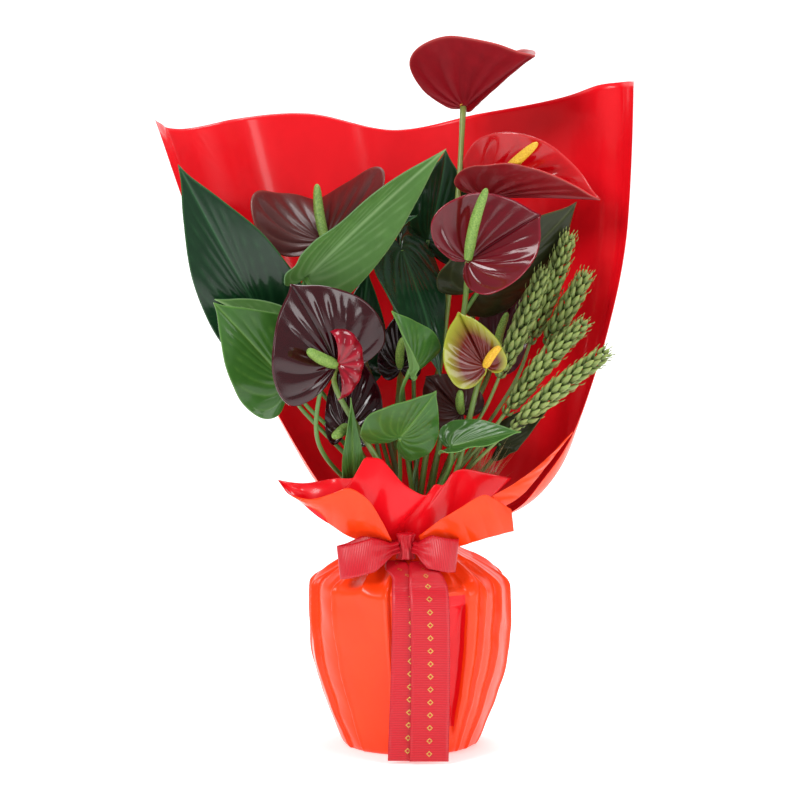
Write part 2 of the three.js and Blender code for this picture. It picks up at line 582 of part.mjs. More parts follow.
const WHEAT = [
  { name: 'wheat_back', neck: [20, -6], via: [[28, -4, 32]],
    ear: [[84, 0, 132], [98, 0, 170], [112, -2, 210]], radius: 7.5 },
  { name: 'wheat_middle', neck: [11, -6], via: [[19, -8, 29]],
    ear: [[62, -16, 110], [78, -18, 148], [94, -14, 186]], radius: 7.5 },
  { name: 'wheat_tall_right', neck: [21, 0], via: [[34, -3, 33]],
    ear: [[95, -8, 131], [108, -6, 154], [124, 0, 182]], radius: 7.5 },
  { name: 'wheat_right', neck: [13, -10], via: [[21, -12, 26]],
    ear: [[66, -22, 85], [95, -24, 123], [123, -20, 150]], radius: 7.5 },
  { name: 'wheat_low_right', neck: [18, -10], via: [[26, -15, 27]],
    ear: [[71, -28, 76], [105, -30, 106], [138, -24, 130]], radius: 7 },
];

// ---- assembly ----------------------------------------------------------------------------------

const FILM_OUTSIDE = 0xe8402a;
const RIBBON_RED = 0xc01028;
add(plant, 'nursery_pot', nurseryPot(), 0x6b2f22, 0.6);
add(plant, 'potting_mix', pottingMix(), 0x2c1f18, 0.95);
add(plant, 'film_pot_cover', potCover(), FILM_OUTSIDE, 0.25);
add(plant, 'film_shoulder', shoulder(), FILM_OUTSIDE, 0.25);
add(bouquet, 'film_back_sheet', backSheet(), 0xe02836, 0.25);
add(bouquet, 'film_collar', collar(), FILM_OUTSIDE, 0.25);
add(bouquet, 'ribbon_band_and_knot', ribbonBand(), RIBBON_RED, 0.4);
add(bouquet, 'bow_loop_left', bowLoop(-1, 40, 4), RIBBON_RED, 0.4);
add(bouquet, 'bow_loop_right', bowLoop(1, 28, -2), RIBBON_RED, 0.4);
add(plant, 'ribbon_tail_front', ribbonTail([6.5, 8.5, 11, 13, 14, 13],
  [19.3, 16.8, 12], 0), RIBBON_RED, 0.4);
add(plant, 'ribbon_tail_side', ribbonTail([-10, -8, 0, 1, 0, -2],
  [19.6, 15.8, 10.4], 2), RIBBON_RED, 0.4);
FLOWERS.forEach(flower);
LEAVES.forEach(leaf);
WHEAT.forEach(wheat);

export default plant;
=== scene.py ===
"""A gift-wrapped anthurium, finished over its CAD frame and laid out as a Blender add-on.

Everything is in metres in the CAD's own frame: +Z up, +X right, -Y towards the front.
Tables are in millimetres, as the CAD source's are, and MM turns them to metres.
"""
import json
import math

import bpy
import numpy as np
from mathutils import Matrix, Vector


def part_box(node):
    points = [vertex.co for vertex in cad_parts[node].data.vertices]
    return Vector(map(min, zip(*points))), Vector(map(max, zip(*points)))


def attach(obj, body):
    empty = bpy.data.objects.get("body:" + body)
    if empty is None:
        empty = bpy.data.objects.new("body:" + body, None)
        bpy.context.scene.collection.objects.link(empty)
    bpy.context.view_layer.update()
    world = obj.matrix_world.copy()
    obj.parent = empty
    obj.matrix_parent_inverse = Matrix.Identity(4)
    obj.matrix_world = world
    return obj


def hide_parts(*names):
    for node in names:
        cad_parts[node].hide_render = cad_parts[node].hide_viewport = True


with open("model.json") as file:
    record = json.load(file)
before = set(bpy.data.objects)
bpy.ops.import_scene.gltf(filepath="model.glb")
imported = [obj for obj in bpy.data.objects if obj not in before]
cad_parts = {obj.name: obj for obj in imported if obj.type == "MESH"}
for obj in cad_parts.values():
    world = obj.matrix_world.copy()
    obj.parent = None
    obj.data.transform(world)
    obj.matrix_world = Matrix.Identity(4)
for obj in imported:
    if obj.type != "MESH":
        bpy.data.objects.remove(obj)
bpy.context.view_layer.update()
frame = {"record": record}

bl_info = {
    "name": "Gift-wrapped anthurium",
    "version": (1, 0, 0),
    "blender": (4, 5, 0),
    "location": "3D View > Sidebar > Anthurium",
    "description": "Builds the leaves, flowers, wheat, film and ribbon over the packed frame",
    "category": "Object",
}

MM = 0.001

# ---- places and sizes shared with the CAD, in millimetres ----------------------------------------
NECK_HEIGHT = 152                # where the ribbon gathers the film
SLEEVE_RADIUS = 26.2             # the films that rise out of the neck
SLEEVE_FOOT = -9                 # from the neck
POT_MOUTH = 117.4
SOIL_TOP = 110.4
COVER_RADIUS = 67.4              # widest part of the film round the pot
COVER_FOOT_RADIUS = 47.4
NECK_RADIUS = 29
KNOT = (-3, -41, 147)
RIBBON_WIDTH = 27
FLOWER_STALK = 2.3               # radii where a stalk meets its blade or the mix
LEAF_STALK = 1.9
STRAW = 1.6
STALK_STEPS = 60

# ---- finishes that several pieces share ----------------------------------------------------------
FILM_PAINTED_GLOW = 0.06                 # painted glow: emission that stands in for light that real film lets through
FOIL_PITCH = 9                   # from one stamped diamond to the next
RIBBON_ROUGHNESS = 0.33
MIX_COLOURS = {"data_type": "RGBA"}


# ---- colour and nodes ----------------------------------------------------------------------------

def linear(colour):
    """An sRGB hex colour as the linear values that Blender's sockets take."""
    parts = [int(colour[i:i + 2], 16) / 255 for i in (1, 3, 5)]
    return [c / 12.92 if c <= 0.04045 else ((c + 0.055) / 1.055) ** 2.4 for c in parts] + [1]


def add_node(tree, kind, settings=None, inputs=None):
    """Adds a node; an input given as another node's socket is linked, any other value is set."""
    node = tree.nodes.new(kind)
    for name, value in (settings or {}).items():
        setattr(node, name, value)
    for name, value in (inputs or {}).items():
        if isinstance(value, bpy.types.NodeSocket):
            tree.links.new(value, node.inputs[name])
        else:
            node.inputs[name].default_value = value
    return node


def new_material(name):
    material = bpy.data.materials.new(name)
    material.use_nodes = True
    material.node_tree.nodes.clear()
    return material, material.node_tree


def close_material(tree, shader):
    add_node(tree, "ShaderNodeOutputMaterial", inputs={"Surface": shader.outputs["BSDF"]})


# ---- curves and grids ----------------------------------------------------------------------------

def arr(points):
    return np.array(points, float)


def unit(v):
    return v / np.maximum(np.linalg.norm(v, axis=-1, keepdims=True), 1e-12)


def distances(points):
    """How far along its line each point is."""
    return np.concatenate([[0], np.cumsum(np.linalg.norm(np.diff(points, axis=0), axis=1))])


def full_turn(count):
    """Angles evenly round a circle."""
    return np.linspace(0, 2 * math.pi, count, endpoint=False)


def smooth_curve(points, count):
    """Points evenly spaced along a centripetal Catmull-Rom curve through the given ones."""
    p = arr(points)
    p = np.vstack([2 * p[0] - p[1], p, 2 * p[-1] - p[-2]])
    fine = []
    for i in range(1, len(p) - 2):
        p0, p1, p2, p3 = p[i - 1:i + 3]
        d0, d1, d2 = (max(np.linalg.norm(b - a) ** 0.5, 1e-4) for a, b in ((p0, p1), (p1, p2), (p2, p3)))
        t1 = ((p1 - p0) / d0 - (p2 - p0) / (d0 + d1) + (p2 - p1) / d1) * d1
        t2 = ((p2 - p1) / d1 - (p3 - p1) / (d1 + d2) + (p3 - p2) / d2) * d1
        for w in np.linspace(0, 1, 40, endpoint=False):
            cubic = 2 * p1 - 2 * p2 + t1 + t2
            square = -3 * p1 + 3 * p2 - 2 * t1 - t2
            fine.append(cubic * w ** 3 + square * w * w + t1 * w + p1)
    fine.append(p[-2])
    fine = arr(fine)
    run = distances(fine)
    at = np.linspace(0, run[-1], count)
    return np.stack([np.interp(at, run, fine[:, k]) for k in range(fine.shape[1])], axis=1)


def curve_frames(points):
    """Along, side and over directions at each point, turning as little as possible."""
    along = unit(np.gradient(points, axis=0))
    first = arr((1, 0, 0)) if abs(along[0][0]) < 0.9 else arr((0, 1, 0))
    side = unit(first - along[0] * (first @ along[0]))
    sides = [side]
    for t in along[1:]:
        side = unit(side - t * (side @ t))
        sides.append(side)
    sides = arr(sides)
    return along, sides, np.cross(along, sides)


def make_mesh(name, points, faces, uv=None, values=None):
    """A smooth-shaded mesh object; uv is one pair a point and values are named numbers a point."""
    mesh = bpy.data.meshes.new(name)
    mesh.from_pydata([tuple(p) for p in points], [], [tuple(f) for f in faces])
    mesh.shade_smooth()
    if uv is not None:
        layer = mesh.uv_layers.new(name="UVMap")
        loops = np.zeros(len(mesh.loops), np.int32)
        mesh.loops.foreach_get("vertex_index", loops)
        layer.data.foreach_set("uv", arr(uv)[loops].ravel())
    for key, numbers in (values or {}).items():
        attribute = mesh.attributes.new(key, "FLOAT", "POINT")
        attribute.data.foreach_set("value", np.asarray(numbers, np.float32))
    mesh.validate()
    mesh.update()
    piece = bpy.data.objects.new(name, mesh)
    bpy.context.scene.collection.objects.link(piece)
    return piece


def grid_faces(rows, columns, wrap=False):
    """Quads of a grid of points; wrap joins its last column to its first."""
    faces = []
    last = columns if wrap else columns - 1
    for i in range(rows - 1):
        for j in range(last):
            k = (j + 1) % columns
            faces.append((i * columns + j, i * columns + k, (i + 1) * columns + k, (i + 1) * columns + j))
    return faces


def ring_cap(first, count):
    """One face over a ring of points."""
    return tuple(range(first, first + count))


def capped_faces(rows, columns, start=0):
    """Faces of a closed tube of rings, whose first point is number start."""
    faces = [tuple(start + f for f in face) for face in grid_faces(rows, columns, wrap=True)]
    return faces + [ring_cap(start, columns)[::-1], ring_cap(start + (rows - 1) * columns, columns)]


def tube(name, points, radii, sides=12, bumps=None):
    """A closed tube along the points; bumps adds to the radius by angle and distance along."""
    _, side, over = curve_frames(points)
    run = distances(points)
    angle = full_turn(sides)
    radius = np.broadcast_to(arr(radii)[:, None], (len(points), sides)).copy()
    if bumps is not None:
        radius += bumps(angle[None, :], run[:, None])
    ring = side[:, None, :] * np.cos(angle)[None, :, None] + over[:, None, :] * np.sin(angle)[None, :, None]
    body = (points[:, None, :] + ring * radius[:, :, None]).reshape(-1, 3)
    faces = grid_faces(len(points), sides, wrap=True)
    count = len(body)
    body = np.vstack([body, points[0], points[-1]])
    for j in range(sides):
        k = (j + 1) % sides
        faces.append((count, k, j))
        faces.append((count + 1, count - sides + j, count - sides + k))
    share = np.repeat(run / run[-1], sides)
    return make_mesh(name, body, faces, values={"along": np.concatenate([share, [0, 1]])})


def give_thickness(piece, thickness, inner_slot=0, rim_slot=0):
    """Turns an open sheet into a film or blade with its two faces half the thickness each way."""
    solid = piece.modifiers.new("Thickness", "SOLIDIFY")
    solid.thickness = thickness
    solid.offset = 0
    solid.use_even_offset = False
    solid.material_offset = inner_slot
    solid.material_offset_rim = rim_slot
    return piece


def settle(piece, node):
    """Moves a piece's mesh so that the middle of its box is where the CAD node's is."""
    low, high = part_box(node)
    co = np.zeros(len(piece.data.vertices) * 3)
    piece.data.vertices.foreach_get("co", co)
    co = co.reshape(-1, 3)
    shift = arr((low + high) / 2) - (co.min(0) + co.max(0)) / 2
    piece.data.vertices.foreach_set("co", (co + shift).ravel())
    piece.data.update()
    return piece


def place(piece, slot, *nodes, materials=()):
    """Gives a piece its materials, stands it for its CAD nodes and lets it ride on the root body."""
    for material in materials:
        piece.data.materials.append(material)
    if nodes:
        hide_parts(*nodes)
    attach(piece, "root")
    return piece


def waves(position, seed, spans, heights):
    """A smooth random-looking ripple: a few sines whose lengths and starts come from the seed."""
    rng = np.random.RandomState(seed)
    total = np.zeros_like(np.asarray(position, float))
    for span, height in zip(spans, heights):
        total += height * np.sin(2 * math.pi * position / span + rng.uniform(0, 6.28))
    return total


# ---- materials -----------------------------------------------------------------------------------

def waxy_blade(name, colours, roughness, coat, relief):
    """Anthurium leaf or spathe: a waxy skin over living tissue, grown with sunken veins, so it shows broad
    wet-looking highlights that break at each vein, and a thin paler rim that is a painted edge highlight;
    small_green's wide yellow-green edge is its own colour."""
    body, vein, rim = (linear(c) for c in colours)
    material, tree = new_material(name)
    place_at = add_node(tree, "ShaderNodeTexCoord")
    mottle = add_node(tree, "ShaderNodeTexNoise", inputs={
        "Vector": place_at.outputs["Object"], "Scale": 1 / (9 * MM), "Detail": 4.0, "Roughness": 0.6})
    darker = [c * 0.62 for c in body[:3]] + [1]
    mottled = add_node(tree, "ShaderNodeMix", MIX_COLOURS, {
        0: mottle.outputs["Fac"], 6: darker, 7: body})
    veins = add_node(tree, "ShaderNodeAttribute", {"attribute_name": "vein"})
    veined = add_node(tree, "ShaderNodeMix", MIX_COLOURS, {
        0: veins.outputs["Fac"], 6: mottled.outputs[2], 7: vein})
    # Painted edge highlight: the rim colour laid in a thin band round the blade's edge (small_green's wide
    # yellow-green edge is its own colour).
    edge = add_node(tree, "ShaderNodeAttribute", {"attribute_name": "rim"})
    rimmed = add_node(tree, "ShaderNodeMix", MIX_COLOURS, {
        0: edge.outputs["Fac"], 6: veined.outputs[2], 7: rim})
    # Plant cells, about 0.5 mm across here so that they show in the gloss.
    cells = add_node(tree, "ShaderNodeTexVoronoi", inputs={
        "Vector": place_at.outputs["Object"], "Scale": 1 / (0.9 * MM)})
    bump = add_node(tree, "ShaderNodeBump", inputs={
        "Strength": relief, "Distance": 0.12 * MM, "Height": cells.outputs["Distance"]})
    shader = add_node(tree, "ShaderNodeBsdfPrincipled", inputs={
        "Base Color": rimmed.outputs[2], "Roughness": roughness, "IOR": 1.45,
        "Specular IOR Level": 0.25, "Coat Weight": 0.5 * coat, "Coat Roughness": 0.07,
        "Normal": bump.outputs["Normal"]})
    close_material(tree, shader)
    return material


def florist_film(name, colour, painted_glow, roughness=0.3):
    """Cast polypropylene florist film with a satin face: soft wide highlights along each fold, and a
    painted glow, emission of its own colour that stands in for light coming through the thin film."""
    body = linear(colour)
    material, tree = new_material(name)
    place_at = add_node(tree, "ShaderNodeTexCoord")
    # Hand creases, some 18 mm apart, and the film's own fine unevenness at 3 mm.
    creases = add_node(tree, "ShaderNodeTexNoise", inputs={
        "Vector": place_at.outputs["Object"], "Scale": 1 / (22 * MM), "Detail": 2.0, "Distortion": 0.8})
    bump = add_node(tree, "ShaderNodeBump", inputs={
        "Strength": 0.35, "Distance": 1.2 * MM, "Height": creases.outputs["Fac"]})
    # Painted shade: the film is drawn darker and redder where the crease noise is low, in the hollows of the
    # creases.
    painted_crease_shade = [body[0] * 0.86, body[1] * 0.7, body[2] * 0.7, 1]
    tint = add_node(tree, "ShaderNodeMix", MIX_COLOURS, {
        0: creases.outputs["Fac"], 6: painted_crease_shade, 7: body})
    # Painted glow: the film's colour is also emitted, standing in for light that comes through it.
    shader = add_node(tree, "ShaderNodeBsdfPrincipled", inputs={
        "Base Color": tint.outputs[2], "Roughness": roughness, "Specular IOR Level": 0.2,
        "Coat Weight": 0.22, "Coat Roughness": 0.12, "Emission Color": body, "Emission Strength": painted_glow,
        "Normal": bump.outputs["Normal"]})
    close_material(tree, shader)
    return material


def woven_ribbon(name, colour, rib_spacing, foil=None):
    """Ribbed acetate ribbon, woven with a fine cord across its width: a silky sheen across the ribs,
    painted shade in the grooves between them, a flat woven edge on both sides, and on the tails a
    hot-stamped gold foil pattern."""
    body = linear(colour)
    # Painted shade: dark is the colour laid in the grooves between the ribs, where the rib bump is low.
    dark = [c * 0.72 for c in body[:3]] + [1]
    material, tree = new_material(name)
    uv = add_node(tree, "ShaderNodeUVMap", {"uv_map": "UVMap"})
    axes = add_node(tree, "ShaderNodeSeparateXYZ", inputs={"Vector": uv.outputs["UV"]})
    across, along = axes.outputs["X"], axes.outputs["Y"]
    turns = add_node(tree, "ShaderNodeMath", {"operation": "MULTIPLY"}, {
        0: along, 1: 2 * math.pi / rib_spacing})
    rib = add_node(tree, "ShaderNodeMath", {"operation": "SINE"}, {0: turns.outputs[0]})
    rib_share = add_node(tree, "ShaderNodeMapRange", inputs={
        "Value": rib.outputs[0], "From Min": -1.0, "From Max": 1.0})
    off_centre = add_node(tree, "ShaderNodeMath", {"operation": "SUBTRACT"}, {0: across, 1: 0.5})
    from_centre = add_node(tree, "ShaderNodeMath", {"operation": "ABSOLUTE"}, {0: off_centre.outputs[0]})
    selvage = add_node(tree, "ShaderNodeMapRange", inputs={
        "Value": from_centre.outputs[0], "From Min": 0.425, "From Max": 0.44})
    ribbed = add_node(tree, "ShaderNodeMath", {"operation": "MULTIPLY_ADD"}, {
        0: selvage.outputs[0], 1: -0.8, 2: rib_share.outputs[0]})
    tint = add_node(tree, "ShaderNodeMix", MIX_COLOURS, {
        0: rib_share.outputs[0], 6: dark, 7: body})
    colour_out = tint.outputs[2]
    metallic = 0.0
    if foil is not None:
        pitch = FOIL_PITCH * MM
        step = add_node(tree, "ShaderNodeMath", {"operation": "DIVIDE"}, {0: along, 1: pitch})
        cell = add_node(tree, "ShaderNodeMath", {"operation": "FRACT"}, {0: step.outputs[0]})
        off_cell = add_node(tree, "ShaderNodeMath", {"operation": "SUBTRACT"}, {0: cell.outputs[0], 1: 0.5})
        from_cell = add_node(tree, "ShaderNodeMath", {"operation": "ABSOLUTE"}, {0: off_cell.outputs[0]})
        # A diamond: distance across plus distance along, both in shares of the pitch.
        wide = add_node(tree, "ShaderNodeMath", {"operation": "MULTIPLY_ADD"}, {
            0: from_centre.outputs[0], 1: RIBBON_WIDTH * MM / pitch, 2: from_cell.outputs[0]})
        outside = add_node(tree, "ShaderNodeMath", {"operation": "LESS_THAN"}, {0: wide.outputs[0], 1: 0.24})
        hole = add_node(tree, "ShaderNodeMath", {"operation": "GREATER_THAN"}, {0: wide.outputs[0], 1: 0.13})
        mask = add_node(tree, "ShaderNodeMath", {"operation": "MULTIPLY"}, {
            0: outside.outputs[0], 1: hole.outputs[0]})
        gilt = add_node(tree, "ShaderNodeMix", MIX_COLOURS, {
            0: mask.outputs[0], 6: colour_out, 7: linear(foil)})
        colour_out = gilt.outputs[2]
        metallic = mask.outputs[0]
    bump = add_node(tree, "ShaderNodeBump", inputs={
        "Strength": 0.5, "Distance": 0.25 * MM, "Height": ribbed.outputs[0]})
    shader = add_node(tree, "ShaderNodeBsdfPrincipled", inputs={
        "Base Color": colour_out, "Metallic": metallic, "Roughness": RIBBON_ROUGHNESS,
        "Normal": bump.outputs["Normal"]})
    close_material(tree, shader)
    return material


def grown_stalk(name, foot, top, roughness=0.4):
    """Green stalk: a smooth skin with faint lengthwise streaks, redder or paler near its top; on a wheat husk
    the dark foot is painted shade in the gaps between husks.
    """
    material, tree = new_material(name)
    along = add_node(tree, "ShaderNodeAttribute", {"attribute_name": "along"})
    place_at = add_node(tree, "ShaderNodeTexCoord")
    streaks = add_node(tree, "ShaderNodeTexNoise", inputs={
        "Vector": place_at.outputs["Object"], "Scale": 1 / (3 * MM), "Detail": 3.0})
    mixed = add_node(tree, "ShaderNodeMix", MIX_COLOURS, {
        0: along.outputs["Fac"], 6: linear(foot), 7: linear(top)})
    shade = add_node(tree, "ShaderNodeMix", {**MIX_COLOURS, "blend_type": "MULTIPLY"}, {
        0: 0.35, 6: mixed.outputs[2], 7: streaks.outputs["Color"]})
    bump = add_node(tree, "ShaderNodeBump", inputs={
        "Strength": 0.2, "Distance": 0.2 * MM, "Height": streaks.outputs["Fac"]})
    shader = add_node(tree, "ShaderNodeBsdfPrincipled", inputs={
        "Base Color": shade.outputs[2], "Roughness": roughness, "Coat Weight": 0.2,
        "Coat Roughness": 0.25, "Normal": bump.outputs["Normal"]})
    close_material(tree, shader)
    return material


def grainy_skin(name, low, high, grain, roughness, depth):
    """A rough mottled surface, such as a spadix's florets, a husk, peat or moulded pot plastic."""
    material, tree = new_material(name)
    place_at = add_node(tree, "ShaderNodeTexCoord")
    speckle = add_node(tree, "ShaderNodeTexNoise", inputs={
        "Vector": place_at.outputs["Object"], "Scale": 1 / grain, "Detail": 5.0, "Roughness": 0.65})
    spread = add_node(tree, "ShaderNodeMapRange", inputs={
        "Value": speckle.outputs["Fac"], "From Min": 0.32, "From Max": 0.68})
    mixed = add_node(tree, "ShaderNodeMix", MIX_COLOURS, {
        0: spread.outputs[0], 6: linear(low), 7: linear(high)})
    bump = add_node(tree, "ShaderNodeBump", inputs={
        "Strength": 0.5, "Distance": depth, "Height": speckle.outputs["Fac"]})
    shader = add_node(tree, "ShaderNodeBsdfPrincipled", inputs={
        "Base Color": mixed.outputs[2], "Roughness": roughness, "Normal": bump.outputs["Normal"]})
    close_material(tree, shader)
    return material


# ---- the bouquet: millimetres, heights above the neck --------------------------------------------
# Each blade: stalk joint (base), tip, the way its upper side faces, half widths to its right and
# left, and in degrees its bend to the tip, the fold and curl of each half and its twist.

FLOWERS = [
    {"name": "top_red", "neck": [5, -1], "via": [[24, 12, 136]],
     "base": [38, 44, 298], "tip": [85, -4, 336], "face": [0.4, 0.06, 0.92],
     "half": [55, 51], "bend": 7, "fold": [25, 30], "curl": [0, 30], "twist": -7, "lobe": 0.7,
     "spadix": {"tip": [32, 70, 345], "radius": 3.6}},
    {"name": "upper_red", "neck": [10, 18], "via": [[39, 45, 124]],
     "base": [56, 14, 236], "tip": [133, -5, 236], "face": [0.42, -0.86, 0.29],
     "half": [29, 45], "bend": 21, "fold": [68, 5], "curl": [0, 12], "twist": -12, "lobe": 1.1,
     "spadix": {"tip": [88, -24, 274], "radius": 3.7}},
    {"name": "burgundy", "neck": [12, 2], "via": [[31, 2, 113]],
     "base": [40, -34, 194], "tip": [91, -18, 225], "face": [-0.07, -0.84, 0.54],
     "half": [39, 41], "bend": 14, "fold": [6, 20], "curl": [9, 15], "twist": -4, "lobe": 0.8,
     "spadix": {"tip": [52, -56, 244], "radius": 3.7}},
    {"name": "brown", "neck": [-2, -1], "via": [[-21, 19, 84]],
     "base": [-60, 23, 204], "tip": [-68, 70, 230], "face": [-0.25, 0.42, 0.87],
     "half": [64, 59], "bend": 36, "fold": [28, 18], "curl": [9, 22], "twist": -12,
     "spadix": {"tip": [-66, 37, 243], "radius": 3.6}},
    {"name": "large_dark", "neck": [-2, -20], "via": [[-13, -29, 36]],
     "base": [-51, -62, 124], "tip": [-81, -72, 180], "face": [0.12, -0.86, 0.5],
     "half": [43, 50], "bend": 21, "fold": [3, 6], "curl": [3, 2], "twist": -9, "lobe": 0.7,
     "spadix": {"tip": [-69, -87, 136], "radius": 4}},
    {"name": "lower_dark", "neck": [-15, -7], "via": [[-30, -9, 48]],
     "base": [-45, -20, 76], "tip": [-41, -6, 129], "face": [0, -0.95, 0.3],
     "half": [26, 15], "bend": 10, "fold": [10, 10],
     "spadix": {"tip": [-53, -44, 72], "radius": 3.6}},
    {"name": "small_green", "neck": [10, -18], "via": [[29, -28, 35]],
     "base": [52, -42, 121], "tip": [33, -38, 158], "face": [-0.14, -0.92, 0.36],
     "half": [17, 28], "bend": 19, "fold": [16, 17], "curl": [4, 6], "twist": 5, "lobe": 0.8,
     "spadix": {"tip": [61, -62, 136], "radius": 3}},
    {"name": "hidden_dark", "neck": [-11, 2], "via": [[-11, 26, 61]],
     "base": [-7, 5, 116], "tip": [-7, 0, 156], "face": [0, -0.95, 0.3],
     "half": [16, 16], "bend": 10, "fold": [10, 10],
     "spadix": {"tip": [-5, -18, 138], "radius": 3}},
    {"name": "low_brown", "neck": [17, 5], "via": [[28, 8, 48]],
     "base": [36, -10, 85], "tip": [11, 2, 110], "face": [-0.2, -0.8, 0.55],
     "half": [20, 22], "bend": 15, "fold": [12, 12],
     "spadix": {"tip": [35, -28, 102], "radius": 3}},
    {"name": "back_maroon", "neck": [12, 9], "via": [[25, 27, 39]],
     "base": [62, 38, 123], "tip": [79, 42, 178], "face": [0, -0.95, 0.3],
     "half": [20, 20], "bend": 10, "fold": [10, 10],
     "spadix": {"tip": [69, 16, 153], "radius": 3}},
]

LEAVES = [
    {"name": "leaf_tall_left", "neck": [-9, -6], "via": [[-52, 7, 83]],
     "base": [-101, -17, 149], "tip": [-161, -19, 259], "face": [-0.32, -0.85, 0.43],
     "half": [37, 34], "bend": 20, "fold": [7, 9], "lobe": 0.8},
    {"name": "leaf_folded_upper", "neck": [-16, 13], "via": [[-64, -35, 68]],
     "base": [-72, -42, 182], "tip": [25, -22, 270], "face": [-0.32, 0.94, 0.12],
     "half": [24, 34], "bend": 15, "fold": [-20, -4], "curl": [-20, 10], "lobe": 0.5},
    {"name": "leaf_back_centre", "neck": [6, 6], "via": [[3, 51, 121]],
     "base": [13, 44, 203], "tip": [26, 46, 267], "face": [0.26, -0.95, 0.1],
     "half": [34, 25], "bend": 30, "fold": [12, 13], "lobe": 0.9},
    {"name": "leaf_dark_centre", "neck": [-15, 7], "via": [[-33, 9, 105]],
     "base": [-56, -15, 191], "tip": [6, -9, 223], "face": [-0.2, -0.8, 0.5],
     "half": [14, 18], "bend": 15, "fold": [8, 8]},
    {"name": "leaf_hanging", "neck": [4, 19], "via": [[-6, 30, 106]],
     "base": [-6, 13, 198], "tip": [22, -16, 111], "face": [0.23, -0.6, 0.76],
     "half": [29, 25], "bend": 21, "fold": [5, -2], "curl": [3, -9], "twist": -8, "lobe": 0.9},
    {"name": "leaf_low_left", "neck": [-13, -16], "via": [[-30, -13, 37]],
     "base": [-87, -42, 111], "tip": [-135, -54, 166], "face": [-0.3, -0.75, 0.55],
     "half": [38, 33], "bend": 25, "fold": [8, 10], "lobe": 0.8},
    {"name": "leaf_left_underside", "neck": [-17, 2], "via": [[-43, -12, 59]],
     "base": [-83, -26, 130], "tip": [-135, -35, 167], "face": [0.02, 0.35, 0.94],
     "half": [10, 26], "bend": 25, "fold": [9, 24], "curl": [2, 10], "twist": -7, "lobe": 0.7},
    {"name": "leaf_front_small", "neck": [5, -12], "via": [[2, -13, 26]],
     "base": [0, -50, 119], "tip": [-12, -62, 161], "face": [0.64, -0.76, 0.06],
     "half": [29, 9], "bend": 35, "fold": [1, 59], "curl": [0, 20], "lobe": 0.5},
    {"name": "leaf_low_centre", "neck": [-8, -13], "via": [[-7, -18, 43]],
     "base": [-7, -38, 71], "tip": [18, -50, 105], "face": [0.17, -0.98, -0.13],
     "half": [24, 31], "bend": 29, "fold": [-4, 21], "curl": [1, -5], "twist": -7, "lobe": 1.4},
    {"name": "leaf_narrow", "neck": [-20, -5],
     "base": [-40, -27, 36], "tip": [-41, -46, 100], "face": [0.2, -0.95, 0.2],
     "half": [8, 8], "bend": 10, "fold": [20, 20], "lobe": 0.2},
    {"name": "leaf_low_right", "neck": [15, -14], "via": [[18, -18, 21]],
     "base": [29, -34, 64], "tip": [77, -46, 75], "face": [0.17, -0.62, 0.77],
     "half": [15, 18], "bend": 8, "fold": [15, 19], "curl": [16, 8], "twist": -8, "lobe": 0.7},
    {"name": "leaf_right_olive", "neck": [-3, -13], "via": [[20, 19, 112]],
     "base": [49, 8, 170], "tip": [117, 4, 232], "face": [0.5, -0.8, -0.1],
     "half": [34, 34], "bend": 34, "fold": [3, -5], "curl": [-20, 3], "twist": 9},
    {"name": "leaf_low_olive", "neck": [18, 10],
     "base": [64, 0, 62], "tip": [102, -2, 92], "face": [0.1, -0.8, 0.6],
     "half": [12, 12], "bend": 15, "fold": [10, 10]},
    {"name": "leaf_behind_dark", "neck": [-6, 20], "via": [[-18, 39, 52]],
     "base": [-37, 36, 117], "tip": [-30, 40, 182], "face": [0, -0.95, 0.3],
     "half": [20, 20], "bend": 10, "fold": [10, 10]},
]

WHEAT = [
    {"name": "wheat_back", "neck": [20, -6], "via": [[28, -4, 32]],
     "ear": [[84, 0, 132], [98, 0, 170], [112, -2, 210]], "radius": 7.5},
    {"name": "wheat_middle", "neck": [11, -6], "via": [[19, -8, 29]],
     "ear": [[62, -16, 110], [78, -18, 148], [94, -14, 186]], "radius": 7.5},
    {"name": "wheat_tall_right", "neck": [21, 0], "via": [[34, -3, 33]],
     "ear": [[95, -8, 131], [108, -6, 154], [124, 0, 182]], "radius": 7.5},
    {"name": "wheat_right", "neck": [13, -10], "via": [[21, -12, 26]],
     "ear": [[66, -22, 85], [95, -24, 123], [123, -20, 150]], "radius": 7.5},
    {"name": "wheat_low_right", "neck": [18, -10], "via": [[26, -15, 27]],
     "ear": [[71, -28, 76], [105, -30, 106], [138, -24, 130]], "radius": 7},
]

# Half outlines from the tip round to the notch: share of length, share of half width.
LEAF_EDGE = [
    (1, 0), (0.9, 0.12), (0.72, 0.42), (0.42, 0.84), (0.12, 1), (-0.12, 0.9), (-0.24, 0.55),
    (-0.17, 0.16), (-0.02, 0)]
SPATHE_EDGE = [
    (1, 0), (0.93, 0.12), (0.78, 0.46), (0.5, 0.85), (0.18, 1), (-0.1, 0.9), (-0.24, 0.55),
    (-0.18, 0.16), (-0.02, 0)]

# The tall sheet: height, left and right edges, depth behind the plant, wrap on each side in degrees.
SHEET_ROWS = [
    (SLEEVE_FOOT, -SLEEVE_RADIUS, SLEEVE_RADIUS, SLEEVE_RADIUS, 112, 112),
    (2, -SLEEVE_RADIUS, SLEEVE_RADIUS, SLEEVE_RADIUS, 112, 112),
    (12, -43, 69, 36, 104, 110), (37, -68, 100, 50, 106, 118), (84, -94, 121, 62, 100, 96),
    (146, -124, 139, 74, 96, 92), (210, -150, 151, 84, 92, 90), (303, -178, 156, 92, 88, 88)]
SHEET_TOP = [289, 282, 288, 292, 280, 292, 303, 314, 316]


def above_neck(points):
    """Millimetres measured from the neck as metres in the row frame."""
    return (arr(points) + arr((0, 0, NECK_HEIGHT))) * MM


